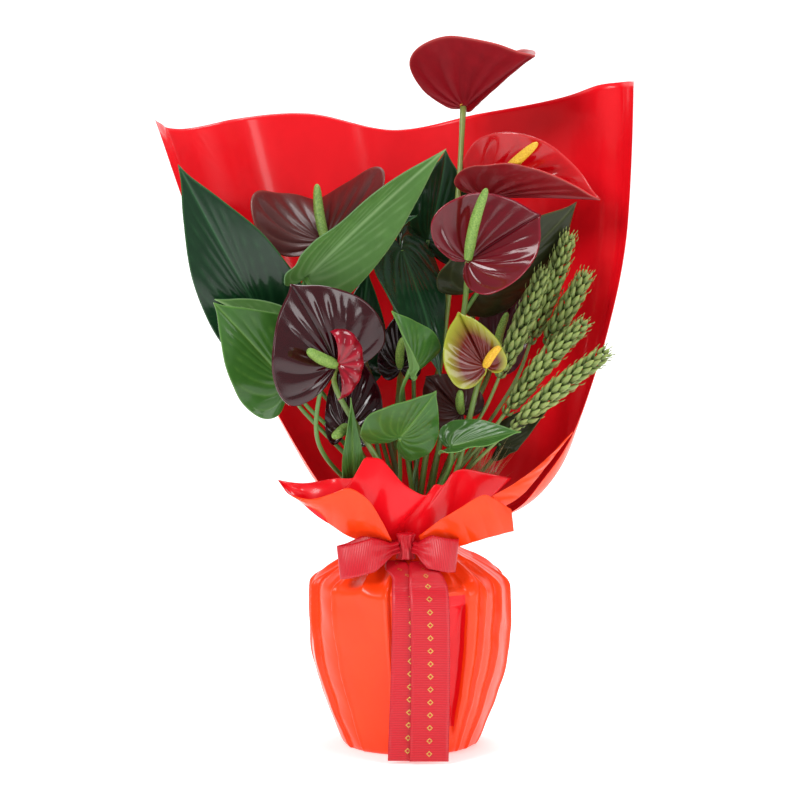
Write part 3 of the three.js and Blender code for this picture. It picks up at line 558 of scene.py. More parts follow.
def through(values, at):
    """A smooth curve through evenly spaced values, Catmull-Rom as in the CAD; at counts values."""
    values = arr(values)
    last = len(values) - 1
    k = np.clip(np.floor(at).astype(int), 0, last - 1)
    p0, p1, p2, p3 = (values[np.clip(k + step, 0, last)] for step in (-1, 0, 1, 2))
    w = (at - k).reshape(-1, *[1] * (values.ndim - 1))
    v0, v1 = (p2 - p0) / 2, (p3 - p1) / 2
    cubic = 2 * p1 - 2 * p2 + v0 + v1
    return cubic * w ** 3 + (3 * p2 - 3 * p1 - 2 * v0 - v1) * w * w + v0 * w + p1


def spline_edge(edge, lobe, steps):
    """Evenly stepped points on the half outline."""
    points = [(a * lobe if a < 0 else a, c) for a, c in edge]
    return through(points, np.linspace(0, len(points) - 1, steps + 1))


def blade_piece(name, spec, edge, style, seed):
    """A heart-shaped blade: the CAD's bent and folded outline with veins pressed into it."""
    steps, rings = 64, 28
    base, tip = above_neck(spec["base"]), above_neck(spec["tip"])
    along = tip - base
    chord = np.linalg.norm(along)
    along = along / chord
    up = arr(spec["face"])
    up = unit(up - along * (up @ along))
    aside = np.cross(along, up)
    turn = math.radians(max(spec["bend"], 1))
    length = chord * (turn / 2) / math.sin(turn / 2)
    bow = length / turn
    half = arr(spec["half"]) * MM
    fold = arr(spec["fold"])
    curl = arr(spec.get("curl", (0, 0)))
    twist = math.radians(spec.get("twist", 0))

    outline = spline_edge(edge, spec.get("lobe", 1), steps)
    spokes = 2 * steps
    right = np.concatenate([np.arange(steps + 1), np.arange(steps - 1, 0, -1)])
    left = (np.arange(spokes) > steps).astype(int)
    sign = np.where(left == 1, -1.0, 1.0)
    share = (np.arange(1, rings + 1) / rings) ** 0.85
    u = outline[right, 0][None, :] * share[:, None] * length
    v = (outline[right, 1] * half[left] * sign)[None, :] * share[:, None]
    ring = np.broadcast_to(share[:, None], u.shape)
    u, v, ring = (np.concatenate([[0.0], a.ravel()]) for a in (u, v, ring))
    k = (v < 0).astype(int)

    # Veins leave the joint as curved rays, and the midrib runs straight to the tip.
    ray = np.arctan2(np.abs(v) / half[k], u / length)
    bent = ray + style["sweep"] * ring ** 1.3 * np.sin(np.clip(ray, 0, math.pi))
    beat = bent / math.radians(style["ray_angle"])
    away = np.abs(beat - np.round(beat)) * math.radians(style["ray_angle"]) * np.maximum(ring, 0.02)
    lateral = np.exp(-(away / 0.024) ** 2) * np.clip(ring * 6, 0, 1) * np.clip((1.02 - ring) * 5, 0, 1)
    lateral *= (np.round(beat) > 0)
    ribs = np.exp(-(np.abs(v) / (0.9 * MM + 0.6 * MM * (1 - ring))) ** 2) * (u > 0)
    quilt = np.cos(beat * 2 * math.pi) * np.clip(ring * 2, 0, 1) * np.clip((1 - ring) * 4, 0, 1)
    ripple = waves(np.degrees(np.arctan2(v, u)), seed, (61, 37, 113), (0.5, 0.3, 0.6))
    lift = -style["sunk"] * MM * np.maximum(lateral, 1.6 * ribs) - style["quilt"] * MM * quilt
    lift += style["wave"] * MM * ripple * ring ** 3
    net = np.maximum(lateral * 0.4, ribs)

    angle = turn * u / length - turn / 2
    spot = (base + along[None] * (bow * (np.sin(angle) + math.sin(turn / 2)))[:, None]
            + up[None] * (bow * (np.cos(angle) - math.cos(turn / 2)))[:, None])
    rise = up[None] * np.cos(angle)[:, None] + along[None] * np.sin(angle)[:, None]
    roll = (twist * u / length)[:, None]
    side = aside[None] * np.cos(roll) + rise * np.sin(roll)
    over = rise * np.cos(roll) - aside[None] * np.sin(roll)
    slope = np.radians(fold[k] + curl[k] * np.abs(v) / half[k])[:, None]
    reach = v[:, None]
    normal = over * np.cos(slope) - side * np.sin(slope) * np.where(v < 0, -1, 1)[:, None]
    points = spot + side * reach * np.cos(slope) + over * np.abs(reach) * np.sin(slope)
    points = points + normal * lift[:, None]

    faces = [(0, 1 + (i + 1) % spokes, 1 + i) for i in range(spokes)]
    for r in range(rings - 1):
        for i in range(spokes):
            a, b = 1 + r * spokes + i, 1 + r * spokes + (i + 1) % spokes
            faces.append((a, b, b + spokes, a + spokes))
    # The rim share lays a painted edge highlight round the blade; for small_green it lays its own
    # yellow-green edge.
    pale_from = style["pale_from"]
    rim = np.clip((ring - pale_from) / (1 - pale_from), 0, 1) * style["rim"]
    piece = make_mesh(name, points, faces, uv=np.stack([u / length, v / half.max()], 1),
                      values={"vein": net * style["tint"], "rim": rim})
    return piece, up


def stalk_route(spec, joint, arrive):
    """The stalk from the potting mix through the neck to its joint, as in the CAD."""
    x, y = spec["neck"]
    foot = arr((x * 1.3, y * 1.3, SOIL_TOP - 1.5 - NECK_HEIGHT))
    local = joint / MM - arr((0, 0, NECK_HEIGHT))
    reach = math.dist((x, y, 0), local)
    last = local - arrive * reach * 0.2
    route = [foot, arr((x, y, 0)), *[arr(v) for v in spec.get("via", [])], last, local]
    return above_neck(smooth_curve(route, STALK_STEPS))


def arrival(spec, up, turn):
    onward = unit(arr(spec["base"]) - arr((*spec["neck"], 0)))
    return unit(onward + up * turn)


def curled_lobe_piece(name, base, up):
    """A spathe's lobe rolled up: a fluted shell that bulges from beside the joint."""
    rings, spokes = 26, 120
    wide, tall, swell, stand_off, flutes = 19, 24, 8.5, 1.5, 11
    right = unit(arr((1, 0, 0)) - up * up[0])
    high = np.cross(up, right)
    high = high * np.sign(high[2])
    share = np.linspace(0, 1, rings)[:, None]
    angle = np.linspace(math.radians(-88), math.radians(104), spokes)[None, :]
    reach = 1 / np.sqrt((np.cos(angle) / wide) ** 2 + (np.sin(angle - 0.15) / tall) ** 2)
    flute = 0.75 * np.cos(flutes * angle) * np.clip(share * 1.6, 0, 1)
    bulge = swell * np.sin(math.pi * share ** 0.8) + flute * np.sin(math.pi * share) ** 0.5
    span = reach * np.sin(math.pi / 2 * share)
    points = (base[None, None] + right * (span * np.cos(angle) * MM)[..., None]
              + high * (span * np.sin(angle) * MM)[..., None]
              + up * ((bulge + stand_off) * MM)[..., None])
    # Painted shade: the vein colour is laid in the grooves between the flutes.
    vein = np.broadcast_to(0.5 - 0.5 * np.cos(flutes * angle), span.shape).ravel() * 0.6
    # Painted highlight: the pale rim colour along the lobe's outer edge.
    rim = np.broadcast_to(np.clip((share - 0.93) / 0.07, 0, 1), span.shape).ravel()
    return make_mesh(name, points.reshape(-1, 3), grid_faces(rings, spokes),
                     values={"vein": vein, "rim": rim})


def straw_tuft_piece(name, foot, top, spread, count, seed):
    """Dry awns and leaf shreds of the wheat, a loose tuft of fine fibres."""
    rng = np.random.RandomState(seed)
    points, faces = [], []
    sides, rows = 3, 8
    for _ in range(count):
        start = foot + rng.normal(0, 1, 3) * spread * 0.3
        end = top + rng.normal(0, 1, 3) * spread
        bow = rng.normal(0, 1, 3) * spread * 0.35
        share = np.linspace(0, 1, rows)[:, None]
        line = start + (end - start) * share + bow * np.sin(math.pi * share)
        girth = 0.38 * MM * (1.05 - share)
        turn = full_turn(sides)
        ring = np.stack([np.cos(turn), np.sin(turn), np.zeros(sides)], 1)
        begin = len(points) * sides * rows
        points.append((line[:, None] + ring[None] * girth[:, None]).reshape(-1, 3))
        faces += capped_faces(rows, sides, begin)
    points = np.vstack(points)
    along = np.tile(np.repeat(np.linspace(0, 1, rows), sides), count)
    return make_mesh(name, points, faces, values={"along": along})


def spadix_piece(name, foot, tip, radius):
    """A tapering spike packed with tiny florets in two crossing spirals."""
    shape = [
        (0.0, 0.72), (0.06, 0.86), (0.2, 1.0), (0.55, 1.0), (0.85, 0.8), (0.95, 0.58), (0.99, 0.3),
        (1.0, 0.06)]
    length = np.linalg.norm(tip - foot)
    share = np.linspace(0, 1, 120)
    radii = np.interp(share, *zip(*shape)) * radius
    sag = unit(np.cross(tip - foot, arr((0.3, 0.9, 0.1)))) * length * 0.035
    line = foot + (tip - foot) * share[:, None] + sag * np.sin(math.pi * share)[:, None]
    florets = 11
    pitch = 2 * math.pi * radius / florets * 1.1

    def bumps(angle, run):
        a = np.abs(np.cos(florets * angle / 2 + math.pi * run / pitch))
        b = np.abs(np.cos(florets * angle / 2 - math.pi * run / pitch))
        return 0.34 * MM * (np.minimum(a, b) ** 0.6 - 0.6)

    return tube(name, line, radii, sides=44, bumps=bumps)


def wheat_ear(name, spec, seed):
    """A green ear: overlapping pointed husks in four rows, each with a short awn."""
    rng = np.random.RandomState(seed)
    line = smooth_curve(above_neck(spec["ear"]), 60)
    along, side, over = curve_frames(line)
    length = np.linalg.norm(np.diff(line, axis=0), axis=1).sum()
    radius = spec["radius"] * MM
    husk_pitch = 4.4 * MM
    levels = max(int(length / husk_pitch), 8)
    rows, sides = 9, 8
    s = np.linspace(0, 1, rows)
    girth = np.interp(s, (0, 0.15, 0.45, 0.75, 0.92, 1), (0.35, 0.8, 1.0, 0.72, 0.3, 0.04))
    points, faces, husk_shade_share = [], [], []

    def husk(foot, forward, outward, long, wide, thick):
        across = np.cross(forward, outward)
        start = sum(len(p) for p in points)
        a = full_turn(sides)
        keel = 1 + 0.35 * np.exp(-((a - math.pi / 2) / 0.35) ** 2)
        bow = outward * (0.12 * long * np.sin(math.pi * s))[:, None]
        centre = foot + forward * (long * s)[:, None] + bow
        ring = (across[None] * (wide * np.cos(a))[:, None]
                + outward[None] * (thick * np.sin(a) * keel)[:, None])
        body = centre[:, None, :] + ring[None] * girth[:, None, None]
        points.append(body.reshape(-1, 3))
        faces.extend(capped_faces(rows, sides, start))
        # Share along the husk: its material paints the foot dark, shade in the gaps between husks, grading to
        # a paler tip.
        husk_shade_share.append(np.repeat(s, sides))

    for level in range(levels):
        share = (level + 0.3) / levels
        i = min(int(share * (len(line) - 1)), len(line) - 1)
        size = np.interp(share, (0, 0.12, 0.5, 0.85, 1), (0.5, 0.9, 1.0, 0.8, 0.45))
        for quarter in range(4):
            turn = math.pi / 2 * quarter + (0.32 if level % 2 else -0.32) + rng.uniform(-0.08, 0.08)
            outward = side[i] * math.cos(turn) + over[i] * math.sin(turn)
            lean = math.radians(29 + rng.uniform(-6, 6))
            forward = unit(along[i] * math.cos(lean) + outward * math.sin(lean))
            face = unit(outward - forward * (outward @ forward))
            foot = line[i] + outward * radius * 0.16 * size
            husk(foot, forward, face, 12 * MM * size, 2.3 * MM * size, 1.8 * MM * size)
            end = foot + forward * 11.5 * MM * size
            husk(end, unit(forward * 0.9 + along[i] * 0.4), face, 5.5 * MM * size, 0.35 * MM, 0.3 * MM)
    return make_mesh(name, np.vstack(points), faces, values={"along": np.concatenate(husk_shade_share)})


# ---- film ----------------------------------------------------------------------------------------

def sheet_points(across, up):
    """Where the tall sheet is; across and up run from 0 to 1. Its top edge has its own curve."""
    spans = len(SHEET_ROWS) - 1
    height, left, right, back, wrap_left, wrap_right = through(SHEET_ROWS, up * spans).T
    last = np.clip(up * spans - spans + 1, 0, 1)
    height = height + last * (through(SHEET_TOP, across * (len(SHEET_TOP) - 1)) - SHEET_ROWS[-1][0])
    angle = np.radians(-wrap_left * (1 - across) + wrap_right * across)
    middle, half = (left + right) / 2, (right - left) / 2
    return np.stack([middle + half * np.sin(angle), back * np.cos(angle), height], 1), angle


def back_sheet_piece(depth):
    rows, columns = 110, 200
    up, across = (a.ravel() for a in np.meshgrid(
        np.linspace(0, 1, rows), np.linspace(0, 1, columns), indexing="ij"))
    points, angle = sheet_points(across, up)
    outward = np.stack([np.sin(angle), np.cos(angle), np.zeros_like(angle)], 1)
    # Gathers near the neck fade into a few long soft folds towards the top.
    gather = np.clip(1 - (up - 0.14) / 0.35, 0, 1) * np.clip(up / 0.2, 0, 1)
    folds = gather * 2.2 * np.abs(np.sin(math.pi * (13 * across + 0.3 * np.sin(9 * across))))
    grow = np.clip(up * 1.4 - 0.2, 0, 1)
    folds += waves(across + 0.05 * up, 3, (0.21, 0.13, 0.37), (1.8, 0.8, 2.4)) * grow
    for ridge in (0.09, 0.46, 0.9):
        folds += 3.0 * grow * np.exp(-((across - ridge - 0.05 * (1 - up)) / 0.022) ** 2)
    folds += waves(up + 0.2 * across, 8, (0.43, 0.27), (0.7, 0.4)) * up
    points = points + outward * (folds * depth)[:, None]
    uv = np.stack([across, up], 1)
    return make_mesh("back_sheet", above_neck(points), grid_faces(rows, columns), uv=uv)


def film_patch(name, top, bottom, bulge, seed, rows=40, columns=90, ripple=1.0):
    """A flap of film between its top edge and its bottom edge, bulged forward, with creases."""
    high, low = smooth_curve(above_neck(top), columns), smooth_curve(above_neck(bottom), columns)
    up = np.linspace(0, 1, rows)[:, None, None]
    grid = low[None] * (1 - up) + high[None] * up
    push = np.sin(math.pi * np.clip(up * 0.9, 0, 1)) * bulge * MM
    across = np.linspace(0, 1, columns)[None, :, None]
    crease = np.abs(np.sin(math.pi * (5.5 * across + 0.6 * up + seed))) * (1 - up) ** 0.8 * 2.4 * MM
    soft = waves(across + 0.25 * up, seed, (0.31, 0.17), (1.0, 0.5)) * MM * up
    grid = grid + arr((0, -1, 0)) * (push + (crease + soft) * ripple)
    return make_mesh(name, grid.reshape(-1, 3), grid_faces(rows, columns))


COLLAR_INNER_TOP = [
    (-92, -20, 39), (-84, -26, 38), (-73, -32, 38), (-52, -38, 42), (-38, -40, 44), (-34, -40, 53),
    (-31, -40, 57), (-26, -41, 57), (-20, -42, 56), (-13, -44, 49), (-4, -46, 39), (12, -47, 32),
    (17, -44, 39), (23, -42, 38), (28, -38, 44), (32, -36, 47), (38, -33, 48), (52, -28, 45),
    (71, -18, 40)]
COLLAR_INNER_FOOT = [
    (-91, -21, 37.5), (-72, -36, 22), (-45, -33, 3), (-25, -26, -3), (0, -27, -4), (17, -24, -4),
    (27, -16, -3)]
COLLAR_LEFT_TOP = [
    (-92, -20, 39), (-88, -28, 34), (-84, -35, 31), (-69, -46, 29), (-54, -54, 34), (-42, -57, 38),
    (-29, -56, 30), (-20, -50, 15), (-13, -42, 0)]
COLLAR_LEFT_FOOT = [
    (-92, -20, 38.5), (-79, -30, 27), (-63, -36, 15), (-42, -36, 1), (-33, -34, -2), (-13, -34, -3)]
COLLAR_RIGHT_TOP = [(6, -38, 2), (21, -50, 15), (34, -56, 24), (51, -60, 34), (56, -58, 32), (70, -48, 22)]
COLLAR_RIGHT_FOOT = [(8, -34, -3), (21, -36, -6), (31, -38, -6), (52, -44, 1), (72, -42, 6)]
HEM_TOP = [(56, -55, 32), (73, -44, 40), (94, -30, 54), (114, -14, 72)]
HEM_FOOT = [(66, -46, 24), (78, -38, 31), (95, -26, 49), (114, -12, 71)]

# Overlapping pleats in the film round the pot: angle from the front at the pleat's top and foot,
# depth, how far it runs out, and the side its sharp edge is on.
COVER_PLEATS = [
    (-76, -60, 4.5, 9, 1), (-52, -44, 3.2, 6, -1), (-12, -9, 2.6, 7, 1), (47, 42, 3.4, 8, -1),
    (63, 55, 3.6, 7, -1), (84, 78, 5.0, 9, 1), (108, 104, 4.2, 10, -1), (131, 128, 3.6, 8, 1),
    (158, 161, 4.6, 10, -1), (185, 183, 3.6, 8, 1), (212, 208, 4.4, 10, -1), (236, 239, 3.6, 8, 1),
    (262, 258, 4.6, 9, -1)]
# The deep pleat to the right of the ribbon shows the film's red face.
RED_PLEAT = {"from": 22.5, "to": 36.5, "depth": 6.5, "foot": 12}


def pot_cover_piece(depth):
    """The film round the pot: flat panels between sharp pleats, and gathers over the shoulder."""
    outline = [
        (0.5, 0.2), (30, 0.2), (COVER_FOOT_RADIUS - 1.5, 0.2), (COVER_FOOT_RADIUS + 0.5, 1.5),
        (COVER_FOOT_RADIUS + 11, POT_MOUTH * 0.35), (COVER_FOOT_RADIUS + 18.5, POT_MOUTH * 0.7),
        (COVER_RADIUS + 1.6, POT_MOUTH - 8), (COVER_RADIUS + 1.4, POT_MOUTH - 1),
        (COVER_RADIUS - 0.6, POT_MOUTH + 2.5), (COVER_RADIUS - 6, POT_MOUTH + 7),
        (COVER_RADIUS - 18, POT_MOUTH + 14.5), (NECK_RADIUS + 7, POT_MOUTH + 21),
        (NECK_RADIUS + 1, POT_MOUTH + 26), (NECK_RADIUS - 1.5, NECK_HEIGHT)]
    profile = smooth_curve([(r, 0, z) for r, z in outline], 130)[:, (0, 2)]
    columns = 540
    theta = np.linspace(-180, 180, columns, endpoint=False)[None, :]
    radius, height = profile[:, :1], profile[:, 1:]
    climb = np.clip(height / POT_MOUTH, 0, 1)
    shoulder = np.clip((height - POT_MOUTH + 2) / 12, 0, 1)
    shift = np.zeros((len(profile), columns))
    gaps = []
    for top, foot, deep, run, side in COVER_PLEATS:
        gap = (theta - foot - (top - foot) * climb + 180) % 360 - 180
        gaps.append(gap)
        outward = gap * side
        sharp = np.where(outward < 0, np.exp(-(outward / 0.55) ** 2), np.exp(-outward / run * 1.6))
        lip = 0.5 * np.exp(-((outward + 1.8) / 1.2) ** 2)
        shift -= (sharp - lip) * deep * (0.3 + 0.7 * climb)
    # Between pleats the film is pulled flat, so a panel is a chord rather than an arc.
    gaps = np.stack(gaps)
    before = np.where(gaps >= 0, gaps, 400).min(0)
    after = np.where(gaps < 0, -gaps, 400).min(0)
    half_span = np.radians(before + after) / 2
    chord = np.cos(half_span) / np.cos(np.radians(before - after) / 2)
    flat = np.clip(chord + 0.5 * (1 - np.cos(half_span)) - 1, -0.1, 0.02)
    shift += flat * radius * 0.75 * (0.4 + 0.6 * climb)
    # The film stands off the tapering pot at its sides.
    shift += 6 * np.sin(np.radians(theta)) ** 2 * np.sin(math.pi * climb) ** 1.5
    red = RED_PLEAT
    inset = np.clip((theta - red["from"]) / 1.2, 0, 1) * np.clip((red["to"] - theta) / 1.2, 0, 1)
    inset = inset * np.clip((height - red["foot"]) / 14, 0, 1)
    shift -= inset * red["depth"]
    turned = theta + 5 * np.sin(np.radians(theta * 2))
    gather = (np.abs(np.sin(np.radians(turned * 10.5))) * 1.7
              + np.abs(np.sin(np.radians(turned * 6.5 + 40))) * 1.4)
    folds = (1.3 - gather) * shoulder * np.clip(radius / 40, 0.5, 1.3)
    crumple = waves(theta / 360 + 0.3 * climb, 5, (0.11, 0.067), (0.2, 0.12))
    crumple = crumple + waves(climb + theta / 500, 7, (0.31, 0.17), (0.2, 0.1))
    grown = radius + (shift * (1 - 0.7 * shoulder) + crumple * (1 - shoulder) + folds) * depth
    # Never inside the pot it wraps: its wall tapers, its rim is a straight band.
    _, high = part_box("nursery_pot")
    wall = 44.9 + (high.x / MM - 46) * height / POT_MOUTH
    pot = np.where(height > POT_MOUTH - 11, high.x / MM + 0.9, wall + 0.9)
    grown = np.where(height > POT_MOUTH + 2, grown, np.maximum(grown, pot))
    grown = np.where(radius < COVER_FOOT_RADIUS - 3, radius, grown)
    x, y = grown * np.sin(np.radians(theta)), -grown * np.cos(np.radians(theta))
    z = np.maximum(np.broadcast_to(height, grown.shape) + folds * 0.8 * depth, 0.2)
    z = np.where(height > POT_MOUTH + 1, np.maximum(z, POT_MOUTH + 1.2), z)
    points = np.stack([x, y, z], -1).reshape(-1, 3) * MM
    faces = grid_faces(len(profile), columns, wrap=True)
    shows_red = (inset > 0.5) & (height < POT_MOUTH - 4)
    slots = shows_red[:-1].ravel().astype(int)
    faces.append(ring_cap(0, columns)[::-1])
    piece = make_mesh("pot_cover", points, faces)
    piece.data.polygons.foreach_set("material_index", np.append(slots, 0))
    return piece


# ---- ribbon --------------------------------------------------------------------------------------

def ribbon_piece(name, centre, across, width, columns=13):
    """A strip of ribbon: its middle line, the direction across it at each point, and its width."""
    share = np.linspace(0, 1, columns)
    width = np.broadcast_to(width, (len(centre),))
    reach = (share - 0.5)[None, :, None] * width[:, None, None]
    points = centre[:, None, :] + across[:, None, :] * reach
    run = distances(centre)
    uv = np.stack([np.tile(share, len(centre)), np.repeat(run, columns)], 1)
    piece = make_mesh(name, points.reshape(-1, 3), grid_faces(len(centre), columns), uv=uv)
    return piece, run[-1]


def bow_loop_piece(name, side, reach, fall):
    """One loop of the bow: out from the knot, round, and back in behind, pinched at the knot."""
    x, y, z = KNOT
    start = x + side * 4.5
    path = smooth_curve([
        (start, y - 3, z), (start + side * reach * 0.35, y - 14, z - fall * 0.3),
        (start + side * reach * 0.8, y - 15.5, z - fall * 0.8), (start + side * reach, y - 9, z - fall),
        (start + side * reach * 0.85, y - 4, z - fall * 0.9), (start + side * reach * 0.4, y - 2.5, z - 1),
        (start, y + 1.5, z)], 90) * MM
    share = np.linspace(0, 1, 90)
    spread = np.clip(np.sin(math.pi * share) * 1.5, 0.34, 1)
    lean = unit(arr((side * 0.12, 0.38, 1)))
    across = np.broadcast_to(lean, path.shape)
    piece, long = ribbon_piece(name, path, across, RIBBON_WIDTH * 0.88 * MM * spread, columns=17)
    mesh = piece.data
    # Pinch pleats fan out from the knot.
    for vertex in mesh.vertices:
        row, column = divmod(vertex.index, 17)
        near = max(0.0, 1 - min(share[row], 1 - share[row]) / 0.28)
        vertex.co.y -= 1.5 * MM * near * math.cos(column / 16 * 5 * math.pi)
        vertex.co.y -= 0.9 * MM * math.sin(column / 16 * math.pi) * (1 - near)
    return piece, long


def tail_piece(name, sideways, rise, back, seed):
    """A tail falls over the film's shoulder and hangs beside the pot, cut straight at its end."""
    reach = [NECK_RADIUS + 14.5 + (COVER_RADIUS - NECK_RADIUS - 14.5) * s for s in (0, 0.46, 0.9)]
    hang = COVER_RADIUS + 6
    route = [(sideways[i], -reach[i] + back, POT_MOUTH + rise[i]) for i in range(3)]
    route += [
        (sideways[3], -hang + back, POT_MOUTH), (sideways[4], -hang - 0.6 + back, POT_MOUTH / 2),
        (sideways[5], -hang - 0.6 + back, 2.2)]
    line = smooth_curve(route, 120) * MM
    share = np.linspace(0, 1, 120)
    line[:, 1] += waves(share, seed, (0.4, 0.23), (0.5, 0.3)) * MM * share
    width = RIBBON_WIDTH * MM * (0.5 + 0.5 * np.clip(share * 5, 0, 1))
    across = np.broadcast_to(arr((1, 0, 0)), line.shape)
    return ribbon_piece(name, line, across, width)


def knot_piece():
    """The knot: the ribbon crossed over itself, pinched into upright crumples."""
    x, y, z = KNOT
    half_width, half_depth, half_height = 6.2, 5.4, 9.5
    rows, columns = 48, 64
    v = np.linspace(-1, 1, rows)[:, None]
    a = full_turn(columns)[None, :]
    waist = 0.78 + 0.34 * v ** 2
    crumple = 1 + 0.09 * np.cos(9 * a + 2.2 * np.sin(2.5 * v)) + 0.05 * np.cos(17 * a - 3 * v)
    end = np.clip((1.02 - np.abs(v)) * 9, 0, 1) ** 0.5
    px = x + half_width * waist * crumple * np.cos(a) * end
    py = y + 0.4 + half_depth * waist * crumple * np.sin(a) * end
    pz = np.broadcast_to(z + half_height * v, px.shape)
    points = np.stack([px, py, pz], -1).reshape(-1, 3) * MM
    faces = [face[::-1] for face in capped_faces(rows, columns)]
    uv = np.stack([np.tile(np.arange(columns) / columns * 3, rows),
                   np.repeat(np.linspace(0, 0.03, rows), columns)], 1)
    return make_mesh("bow_knot", points, faces, uv=uv)


def band_piece():
    """The ribbon bunched round the neck, three soft rolls high."""
    columns, rows = 180, 24
    theta = full_turn(columns)[None, :]
    v = np.linspace(0, 1, rows)[:, None]
    roll = np.abs(np.sin(3 * math.pi * v + 0.5 * np.sin(3 * theta)))
    radius = NECK_RADIUS + 1.1 + 1.5 * roll + 0.3 * np.cos(7 * theta)
    z = NECK_HEIGHT - 10.5 + 9 * v + 0.5 * np.sin(2 * theta)
    points = np.stack([radius * np.sin(theta), -radius * np.cos(theta), np.broadcast_to(z, radius.shape)], -1)
    faces = grid_faces(rows, columns, wrap=True)
    uv = np.stack([np.repeat(np.linspace(0.1, 0.9, rows), columns),
                   np.tile(theta.ravel() * NECK_RADIUS * MM, rows)], 1)
    return make_mesh("neck_band", points.reshape(-1, 3) * MM, faces, uv=uv)


# ---- pot and potting mix -------------------------------------------------------------------------

def nursery_pot_piece():
    """A thin-walled moulded nursery pot with a rolled rim, a foot ring and steps down its side."""
    low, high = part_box("nursery_pot")
    top, foot = high.x / MM, 44
    base, mouth = low.z / MM, high.z / MM
    profile = [
        (0.5, base + 2), (foot - 6, base + 2), (foot - 5, base), (foot, base), (foot + 1.5, base + 12),
        (top - 3.4, mouth - 10.5), (top - 3, mouth - 9.5), (top - 0.3, mouth - 9), (top, mouth - 8),
        (top, mouth - 1.2), (top - 0.6, mouth - 0.2), (top - 1.6, mouth), (top - 2.8, mouth - 0.8),
        (top - 3.4, mouth - 9), (top - 4.6, mouth - 11), (foot - 0.4, base + 12), (foot - 2, base + 2.6),
        (0.5, base + 2.6)]
    columns = 128
    theta = full_turn(columns)
    p = arr(profile)
    points = np.stack([p[:, :1] * np.cos(theta), p[:, :1] * np.sin(theta),
                       np.broadcast_to(p[:, 1:], (len(p), columns))], -1).reshape(-1, 3) * MM
    piece = make_mesh("nursery_pot_moulded", points, capped_faces(len(p), columns))
    piece.data.set_sharp_from_angle(angle=math.radians(35))
    return piece


def potting_mix_piece():
    """Bark and peat with a lumpy top, pressed down at the pot's wall."""
    low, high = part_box("potting_mix")
    top = high.z / MM
    radius = high.x / MM
    rows, columns = 60, 140
    theta = full_turn(columns)[None, :]
    share = np.linspace(0, 1, rows)[:, None] ** 0.8
    rng = np.random.RandomState(4)
    x, y = share * radius * np.cos(theta), share * radius * np.sin(theta)
    lumps = np.zeros_like(x)
    for _ in range(260):
        cx, cy = rng.uniform(-radius, radius, 2)
        size = rng.uniform(1.5, 4.5)
        near = np.exp(-(((x - cx) / size) ** 2 + ((y - cy) / (size * rng.uniform(0.5, 1))) ** 2))
        lumps += near * rng.uniform(0.3, 1.1)
    z = top - 2.2 + np.minimum(lumps, 2.2) - 1.0 * share ** 6
    skin = np.stack([x, y, z], -1).reshape(-1, 3)
    foot = low.z / MM
    ring = skin[-columns:].copy()
    ring[:, :2] *= 0.7
    ring[:, 2] = foot
    faces = [tuple(reversed(f)) for f in grid_faces(rows, columns, wrap=True)]
    points = np.vstack([skin, ring])
    start = (rows - 1) * columns
    for j in range(columns):
        k = (j + 1) % columns
        faces.append((start + j, start + columns + j, start + columns + k, start + k))
    faces.append(ring_cap(start + columns, columns)[::-1])
    return make_mesh("bark_and_peat", points * MM, faces)


# ---- what a user would change --------------------------------------------------------------------

def colour_property(name, description, colour):
    return bpy.props.FloatVectorProperty(
        name=name, description=description, default=linear(colour)[:3], subtype="COLOR", min=0, max=1)


def thickness_property(name, description, default, least, most):
    return bpy.props.FloatProperty(
        name=name, description=description, default=default * MM, min=least * MM, max=most * MM,
        unit="LENGTH", precision=5)


def depth_property(name, description, most):
    return bpy.props.FloatProperty(
        name=name, description=description, default=1.0, min=0, max=most, subtype="FACTOR")


class AnthuriumSizes(bpy.types.PropertyGroup):
    film: thickness_property("Film", "Thickness of the florist film as drawn", 0.25, 0.05, 1)
    blade: thickness_property("Blade", "Thickness of leaves and flowers", 0.8, 0.3, 1.2)
    ribbon: thickness_property("Ribbon", "Thickness of the ribbon", 0.4, 0.1, 0.9)
    rib_spacing: thickness_property("Rib spacing", "From one rib of the ribbon to the next", 1.2, 0.5, 4)
    fold_depth: depth_property("Fold depth", "How deep the film's folds are, 1 as bought", 1.3)
    vein_depth: depth_property("Vein depth", "How deep veins are pressed into blades, 1 as grown", 2)


class AnthuriumColours(bpy.types.PropertyGroup):
    film_outside: colour_property("Film outside", "The film's orange-red outer face", "#fc4310")
    film_inside: colour_property("Film inside", "The film's red inner face", "#ea0f1d")
    ribbon: colour_property("Ribbon", "The bow and its tails", "#cf0d22")
    foil: colour_property("Foil", "The pattern stamped on the tails", "#d3ab5a")


def srgb(colour):
    """A colour property as an sRGB hex string, so that materials are all given the same way."""
    parts = []
    for c in colour:
        s = c * 12.92 if c <= 0.0031308 else 1.055 * c ** (1 / 2.4) - 0.055
        parts.append(f"{round(max(0, min(1, s)) * 255):02x}")
    return "#" + "".join(parts)


# rim and pale_from give the strength and the width of the painted edge highlight round each blade.
SPATHE_LOOK = {
    "sweep": 0.35, "ray_angle": 21, "sunk": 0.55, "quilt": 0.24, "wave": 1.3, "rim": 0.6, "tint": 0.45,
    "pale_from": 0.965}
LEAF_LOOK = {
    "sweep": 0.75, "ray_angle": 21, "sunk": 0.2, "quilt": 0.1, "wave": 1.8, "rim": 0.6, "tint": 0.6,
    "pale_from": 0.975}
# The upper red spathe's front half is folded right up, so that it shows its underside.
FOLDED_OVER = {"upper_red": {"fold": [112, 5], "curl": [14, 12]}}
PALE_FROM = {"small_green": 0.6}     # share of the way out where this flower turns yellow-green

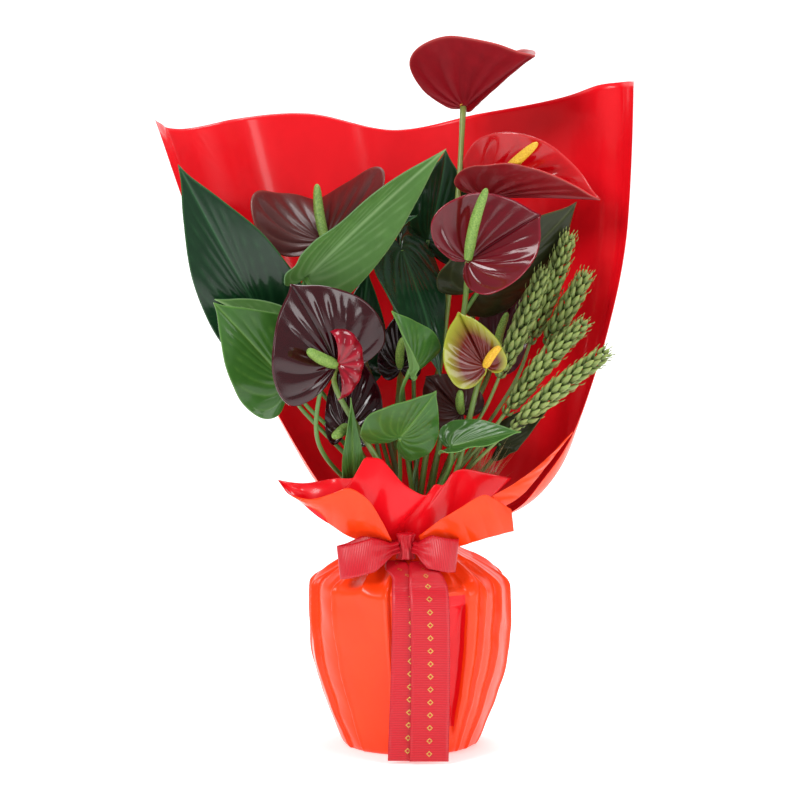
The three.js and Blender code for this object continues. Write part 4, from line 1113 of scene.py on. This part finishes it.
# Upper body, vein and rim colours, then the same for the underside, roughness and wax coat. The rim
# colour is a painted edge highlight, but small_green's yellow-green rim is its own colour.
FLOWER_FINISH = {
    "top_red": (("#a00f1c", "#6d0a14", "#c03a3a"), ("#8f0c1a", "#4f0610", "#c24a44"), 0.3, 0.5),
    "upper_red": (("#cf0614", "#9c0610", "#d84a4a"), ("#86141c", "#5c0e16", "#c05a50"), 0.14, 1.0),
    "burgundy": (("#680516", "#40040e", "#9a2034"), ("#5a1420", "#3c0a14", "#803038"), 0.15, 0.95),
    "brown": (("#4a1a18", "#32100e", "#7c4034"), ("#522019", "#331310", "#8c5a48"), 0.4, 0.35),
    "large_dark": (("#35060e", "#1c0306", "#4a1018"), ("#30101a", "#1c080e", "#4a2024"), 0.12, 1.0),
    "lower_dark": (("#2c060c", "#170306", "#3c1018"), ("#30101a", "#1c080e", "#4a2024"), 0.14, 0.9),
    "small_green": (("#6e1a12", "#470d0a", "#9aa032"), ("#7a8a30", "#5f6c26", "#9aa032"), 0.16, 0.9),
    "hidden_dark": (("#1f0a10", "#12060a", "#301018"), ("#2a1016", "#180a0e", "#3c181e"), 0.2, 0.7),
    "low_brown": (("#3c1612", "#280e0c", "#5c2a20"), ("#40201a", "#2a1410", "#60382c"), 0.3, 0.5),
    "back_maroon": (("#44101a", "#2c0a12", "#662028"), ("#40161c", "#2a0e12", "#602a30"), 0.3, 0.5)}
STALK_FINISH = {
    "top_red": ("#6f8f3a", "#8c9a4a"), "upper_red": ("#5f8436", "#7a8f40"), "brown": ("#5f7a34", "#6a4a34")}
YELLOW_SPADIX = ("top_red", "upper_red", "small_green")
# Leaf colours as for the flowers; the rim colour is a painted edge highlight.
LEAF_FINISH = {
    "dark": (("#12331c", "#2c5a34", "#3c6a3a"), ("#41683a", "#6f9060", "#6a8a50"), 0.22, 0.75),
    "light": (("#3c6a28", "#6a9440", "#6a9448"), ("#5a8040", "#84a468", "#84a060"), 0.3, 0.45),
    "underside": (("#33592a", "#5a8046", "#6a9060"), ("#54803c", "#90b078", "#86a468"), 0.42, 0.2),
    "olive": (("#2c3218", "#4a5030", "#5c5a34"), ("#3c4420", "#5c6438", "#6a6a40"), 0.38, 0.3)}
LEAF_KIND = {
    "leaf_folded_upper": "underside", "leaf_left_underside": "underside", "leaf_low_left": "light",
    "leaf_front_small": "light", "leaf_narrow": "light", "leaf_low_centre": "light",
    "leaf_low_right": "light", "leaf_right_olive": "olive", "leaf_low_olive": "olive"}
# The rolled lobe is drawn a brighter red than its spathe; its vein colour is painted shade in the flutes'
# grooves and its pale rim colour a painted highlight.
CURLED_LOBE_COLOURS = ("#a30d26", "#5c0613", "#d8a0a0")

# The bow's loops: side, how far each reaches and how far it falls.
BOW_LOOPS = (("bow_loop_left_ribbon", -1, 42, 10), ("bow_loop_right_ribbon", 1, 31, 5))
# The tails: where each is sideways from knot to end, its rise over the shoulder, and how far back.
TAILS = (
    ("tail_front_ribbon", (6.5, 8.5, 11, 13, 14, 13), (19.3, 16.8, 12), 0, "ribbon_tail_front"),
    ("tail_side_ribbon", (-10, -8, 0, 1, 0, -2), (19.6, 15.8, 10.4), 2, "ribbon_tail_side"))

# The studio, in metres: lamps by place, size and watts, all turned to the middle of the plant.
LAMPS = (
    ("Key", (-1.5, -1.5, 1.8), (0.9, 0.9), 38), ("Fill", (1.8, -1.6, 1.0), (0.7, 1.4), 17),
    ("Top", (0.3, 0.3, 2.2), (1.4, 1.0), 34))
LAMPS_FACE = (0, 0, 0.26)
SKY_STRENGTH = 0.42
PAPER_GLOW = 0.34
PAPER_PROFILE = [(0, -4, 0), (0, 0, 0), (0, 1.6, 0), (0, 2.6, 0.5), (0, 3.0, 1.6), (0, 3.0, 4)]
CAMERA_PLACE = (-0.007, -2.2, 0.49)
CAMERA_DOWN = 6.364              # degrees below level
LENS = 141.43


def record_slot(node):
    return next(s["material_slot"] for s in frame["record"]["subparts"] if s["node"] == node)


def blade_materials(name, finish):
    upper, under, roughness, coat = finish
    return [waxy_blade(f"{name} upper side, waxy", upper, roughness, coat, 0.22),
            waxy_blade(f"{name} underside, satin", under, roughness + 0.18, coat * 0.3, 0.3)]


def deepened(look):
    depth = bpy.context.scene.anthurium_sizes.vein_depth
    return {**look, "sunk": look["sunk"] * depth, "quilt": look["quilt"] * depth}


# ---- operators: one for each piece or group of like pieces ---------------------------------------

class BuildPot(bpy.types.Operator):
    """Build the nursery pot and the potting mix in it"""
    bl_idname = "anthurium.build_pot"
    bl_label = "Pot and potting mix"

    def execute(self, context):
        # Recycled polypropylene, injection moulded: satin, with a fine even grain off the mould.
        plastic = grainy_skin("Moulded polypropylene, satin", "#5a2a20", "#6c3427", 0.9 * MM, 0.5, 0.05 * MM)
        place(nursery_pot_piece(), "nursery_pot", "nursery_pot", materials=[plastic])
        # Composted bark and peat, damp and matt, in crumbs from dust up to a few millimetres.
        peat = grainy_skin("Bark and peat, damp", "#17100b", "#4a3526", 2.4 * MM, 0.95, 0.8 * MM)
        place(potting_mix_piece(), "potting_mix", "potting_mix", materials=[peat])
        return {"FINISHED"}


class BuildFilm(bpy.types.Operator):
    """Build the film round the pot, the tall sheet behind the plant and the flared collar"""
    bl_idname = "anthurium.build_film"
    bl_label = "Florist film"

    def execute(self, context):
        sizes, colours = context.scene.anthurium_sizes, context.scene.anthurium_colours
        outside = florist_film("Cast film, orange outer face", srgb(colours.film_outside), FILM_PAINTED_GLOW)
        inside = florist_film("Cast film, red inner face", srgb(colours.film_inside), FILM_PAINTED_GLOW)
        cover = pot_cover_piece(sizes.fold_depth)
        give_thickness(cover, sizes.film, inner_slot=1)
        place(cover, "wrap_film", "film_pot_cover", "film_shoulder", materials=[outside, inside])
        back = back_sheet_piece(sizes.fold_depth)
        give_thickness(back, sizes.film, inner_slot=1)
        place(back, "wrap_film", "film_back_sheet", materials=[inside, outside])
        inner = film_patch("collar_inner", COLLAR_INNER_TOP, COLLAR_INNER_FOOT, 2, 2, ripple=2.0)
        give_thickness(inner, sizes.film, inner_slot=1)
        place(inner, "wrap_film", "film_collar", materials=[inside, inside])
        for name, top, foot, bulge, flat, area in (
                ("collar_left", COLLAR_LEFT_TOP, COLLAR_LEFT_FOOT, 5, (0.09, 0.04), 0.0026),
                ("collar_right", COLLAR_RIGHT_TOP, COLLAR_RIGHT_FOOT, 3, (0.075, 0.045), 0.0022),
                ("sheet_hem", HEM_TOP, HEM_FOOT, 1, (0.08, 0.012), 0.00075)):
            flap = film_patch(name, top, foot, bulge, len(name), ripple=0.5)
            give_thickness(flap, sizes.film, inner_slot=1)
            place(flap, "wrap_film", materials=[outside, inside])
        return {"FINISHED"}


class BuildRibbon(bpy.types.Operator):
    """Build the ribbon round the neck, the bow and its two tails"""
    bl_idname = "anthurium.build_ribbon"
    bl_label = "Ribbon bow"

    def execute(self, context):
        sizes, colours = context.scene.anthurium_sizes, context.scene.anthurium_colours
        plain = woven_ribbon("Woven acetate ribbon, ribbed", srgb(colours.ribbon), sizes.rib_spacing)
        printed = woven_ribbon("Woven acetate ribbon, foil stamped", srgb(colours.ribbon), sizes.rib_spacing,
                               foil=srgb(colours.foil))
        for name, side, reach, fall in BOW_LOOPS:
            loop, long = bow_loop_piece(name, side, reach, fall)
            give_thickness(loop, sizes.ribbon)
            place(loop, "ribbon", name.replace("_ribbon", ""), materials=[plain])
        for name, sideways, rise, back, node in TAILS:
            tail, long = tail_piece(name, sideways, rise, back, len(name))
            give_thickness(tail, sizes.ribbon)
            place(tail, "ribbon", node, materials=[printed])
        place(knot_piece(), "ribbon", "ribbon_band_and_knot", materials=[plain])
        band = band_piece()
        give_thickness(band, sizes.ribbon)
        place(band, "ribbon", materials=[plain])
        return {"FINISHED"}


class BuildFlowers(bpy.types.Operator):
    """Build each flower's spathe, spadix and stalk"""
    bl_idname = "anthurium.build_flowers"
    bl_label = "Flowers"

    def execute(self, context):
        sizes = context.scene.anthurium_sizes
        yellow = grainy_skin("Spadix florets, ripe yellow", "#c98f1a", "#f0c83c", 1.2 * MM, 0.55, 0.12 * MM)
        green = grainy_skin("Spadix florets, green", "#4f7a2c", "#93b254", 1.2 * MM, 0.55, 0.12 * MM)
        for i, spec in enumerate(FLOWERS):
            name = spec["name"]
            look = deepened(SPATHE_LOOK)
            spec = {**spec, **FOLDED_OVER.get(name, {})}
            if name in PALE_FROM:
                look.update(pale_from=PALE_FROM[name], rim=1)
            spathe, up = blade_piece(f"{name}_spathe", spec, SPATHE_EDGE, look, i)
            give_thickness(spathe, sizes.blade, inner_slot=1)
            settle(spathe, f"spathe_{name}")
            place(spathe, record_slot(f"spathe_{name}"), f"spathe_{name}",
                  materials=blade_materials(f"Spathe {name}", FLOWER_FINISH[name]))
            base = above_neck(spec["base"])
            if name == "large_dark":
                curl = curled_lobe_piece(f"{name}_curl", base, up)
                give_thickness(curl, sizes.blade)
                place(curl, record_slot(f"spathe_{name}"),
                      materials=[waxy_blade("Rolled lobe, waxy", CURLED_LOBE_COLOURS, 0.12, 1.0, 0.2)])
            arrive = arrival(spec, up, 0.9)
            joint = base - arrive * 0.7 * MM
            radii = np.interp(np.linspace(0, 1, STALK_STEPS), (0, 0.93, 1),
                              (FLOWER_STALK, 1.9, FLOWER_STALK)) * MM
            stalk = tube(f"{name}_stalk", stalk_route(spec, joint, arrive), radii)
            foot_colour, top_colour = STALK_FINISH.get(name, ("#5f7f35", "#6f8a3c"))
            place(stalk, "flower_stalk", f"stalk_{name}",
                  materials=[grown_stalk(f"Flower stalk {name}", foot_colour, top_colour)])
            foot = base + up * (0.4 * MM)
            spadix = spadix_piece(f"{name}_spadix", foot, above_neck(spec["spadix"]["tip"]),
                                  spec["spadix"]["radius"] * MM)
            place(spadix, record_slot(f"spadix_{name}"), f"spadix_{name}",
                  materials=[yellow if name in YELLOW_SPADIX else green])
        return {"FINISHED"}


class BuildLeaves(bpy.types.Operator):
    """Build each leaf with its stalk"""
    bl_idname = "anthurium.build_leaves"
    bl_label = "Leaves"

    def execute(self, context):
        sizes = context.scene.anthurium_sizes
        kinds = {kind: blade_materials(f"Leaf {kind}", finish) for kind, finish in LEAF_FINISH.items()}
        petiole = grown_stalk("Leaf stalk, smooth green", "#4f7a30", "#5f8c3c")
        for i, spec in enumerate(LEAVES):
            name = spec["name"]
            leaf, up = blade_piece(f"{name}_blade", spec, LEAF_EDGE, deepened(LEAF_LOOK), 40 + i)
            give_thickness(leaf, sizes.blade, inner_slot=1)
            place(leaf, record_slot(name), name, materials=kinds[LEAF_KIND.get(name, "dark")])
            base = above_neck(spec["base"])
            arrive = arrival(spec, up, 0.5)
            radii = np.interp(np.linspace(0, 1, STALK_STEPS), (0, 0.5, 0.95, 1),
                              (LEAF_STALK, 1.6, 1.4, 1.7)) * MM
            stalk = tube(f"{name}_stalk", stalk_route(spec, base - up * 0.2 * MM, arrive), radii)
            place(stalk, record_slot(name), materials=[petiole])
        return {"FINISHED"}


class BuildWheat(bpy.types.Operator):
    """Build the green wheat ears on their straws"""
    bl_idname = "anthurium.build_wheat"
    bl_label = "Wheat"

    def execute(self, context):
        # Painted shade: each husk is drawn dark at its foot, in the gaps where the husks overlap, grading to
        # a paler tip.
        husk = grown_stalk("Green husk, dry and streaked", "#3f5c22", "#a3b45e", roughness=0.6)
        straw = grown_stalk("Straw, green", "#6f8a48", "#7f9a50", roughness=0.55)
        for i, spec in enumerate(WHEAT):
            name = spec["name"]
            ear = wheat_ear(f"{name}_ear", spec, 90 + i)
            place(ear, "wheat_green", name, materials=[husk])
            line = smooth_curve(above_neck(spec["ear"]), 60)
            arrive = unit(line[1] - line[0])
            stem = stalk_route({"neck": spec["neck"], "via": spec["via"]}, line[4], arrive)
            radii = np.interp(np.linspace(0, 1, STALK_STEPS), (0, 1), (STRAW, 1.2)) * MM
            place(tube(f"{name}_straw", stem, radii), "wheat_green", materials=[straw])
        dry = grown_stalk("Dry straw shreds", "#8a7448", "#c9b27a", roughness=0.7)
        tuft = straw_tuft_piece("dry_straw_tuft", above_neck((32, -12, 8)), above_neck((57, -14, 58)),
                                arr((9, 5, 6)) * MM, 70, 12)
        place(tuft, "wheat_green", materials=[dry])
        return {"FINISHED"}


class BuildStage(bpy.types.Operator):
    """Add the pale floor, the soft lights and the camera"""
    bl_idname = "anthurium.build_stage"
    bl_label = "Stage"

    def execute(self, context):
        floor_material, tree = new_material("Pale studio paper")
        # A little light of its own stands in for the lamps that light a studio's paper.
        shader = add_node(tree, "ShaderNodeBsdfPrincipled", inputs={
            "Base Color": linear("#fbfbfb"), "Roughness": 0.9, "Emission Color": (1, 1, 1, 1),
            "Emission Strength": PAPER_GLOW})
        close_material(tree, shader)
        # One sheet of paper: flat under the pot, curving up a long way behind it.
        profile = smooth_curve(PAPER_PROFILE, 60)
        points = [(x, y, z) for _, y, z in profile for x in (-5, 5)]
        floor = make_mesh("studio_floor", points, grid_faces(len(profile), 2))
        floor.data.materials.append(floor_material)
        world = bpy.data.worlds.new("Studio")
        world.use_nodes = True
        sky = world.node_tree.nodes["Background"]
        sky.inputs["Color"].default_value = (1, 1, 1, 1)
        sky.inputs["Strength"].default_value = SKY_STRENGTH
        context.scene.world = world
        for name, spot, size, power in LAMPS:
            light = bpy.data.lights.new(name, "AREA")
            light.shape = "RECTANGLE"
            light.size, light.size_y = size
            light.energy = power
            lamp = bpy.data.objects.new(name, light)
            lamp.location = spot
            lamp.rotation_euler = (Vector(LAMPS_FACE) - Vector(spot)).to_track_quat("-Z", "Y").to_euler()
            context.scene.collection.objects.link(lamp)
        lens = bpy.data.cameras.new("Camera")
        lens.lens = LENS
        lens.clip_start, lens.clip_end = 0.1, 50
        camera = bpy.data.objects.new("Camera", lens)
        camera.location = CAMERA_PLACE
        camera.rotation_euler = (math.radians(90 - CAMERA_DOWN), 0, 0)
        context.scene.collection.objects.link(camera)
        context.scene.camera = camera
        context.scene.view_settings.view_transform = "Standard"
        return {"FINISHED"}


OPERATORS = (BuildPot, BuildFilm, BuildRibbon, BuildFlowers, BuildLeaves, BuildWheat, BuildStage)


class AnthuriumPanel(bpy.types.Panel):
    """Sizes, colours and the pieces of the wrapped anthurium"""
    bl_idname = "ANTHURIUM_PT_main"
    bl_label = "Gift-wrapped anthurium"
    bl_space_type = "VIEW_3D"
    bl_region_type = "UI"
    bl_category = "Anthurium"

    def draw(self, context):
        for group in (context.scene.anthurium_sizes, context.scene.anthurium_colours):
            box = self.layout.box()
            for key in group.__annotations__:
                box.prop(group, key)
        for operator in OPERATORS:
            self.layout.operator(operator.bl_idname)


CLASSES = (AnthuriumSizes, AnthuriumColours, *OPERATORS, AnthuriumPanel)


def register():
    for cls in CLASSES:
        bpy.utils.register_class(cls)
    bpy.types.Scene.anthurium_sizes = bpy.props.PointerProperty(type=AnthuriumSizes)
    bpy.types.Scene.anthurium_colours = bpy.props.PointerProperty(type=AnthuriumColours)


def unregister():
    del bpy.types.Scene.anthurium_colours
    del bpy.types.Scene.anthurium_sizes
    for cls in reversed(CLASSES):
        bpy.utils.unregister_class(cls)


def main():
    register()
    bpy.ops.anthurium.build_pot()
    bpy.ops.anthurium.build_film()
    bpy.ops.anthurium.build_ribbon()
    bpy.ops.anthurium.build_flowers()
    bpy.ops.anthurium.build_leaves()
    bpy.ops.anthurium.build_wheat()
    bpy.ops.anthurium.build_stage()


if __name__ == "__main__":
    main()
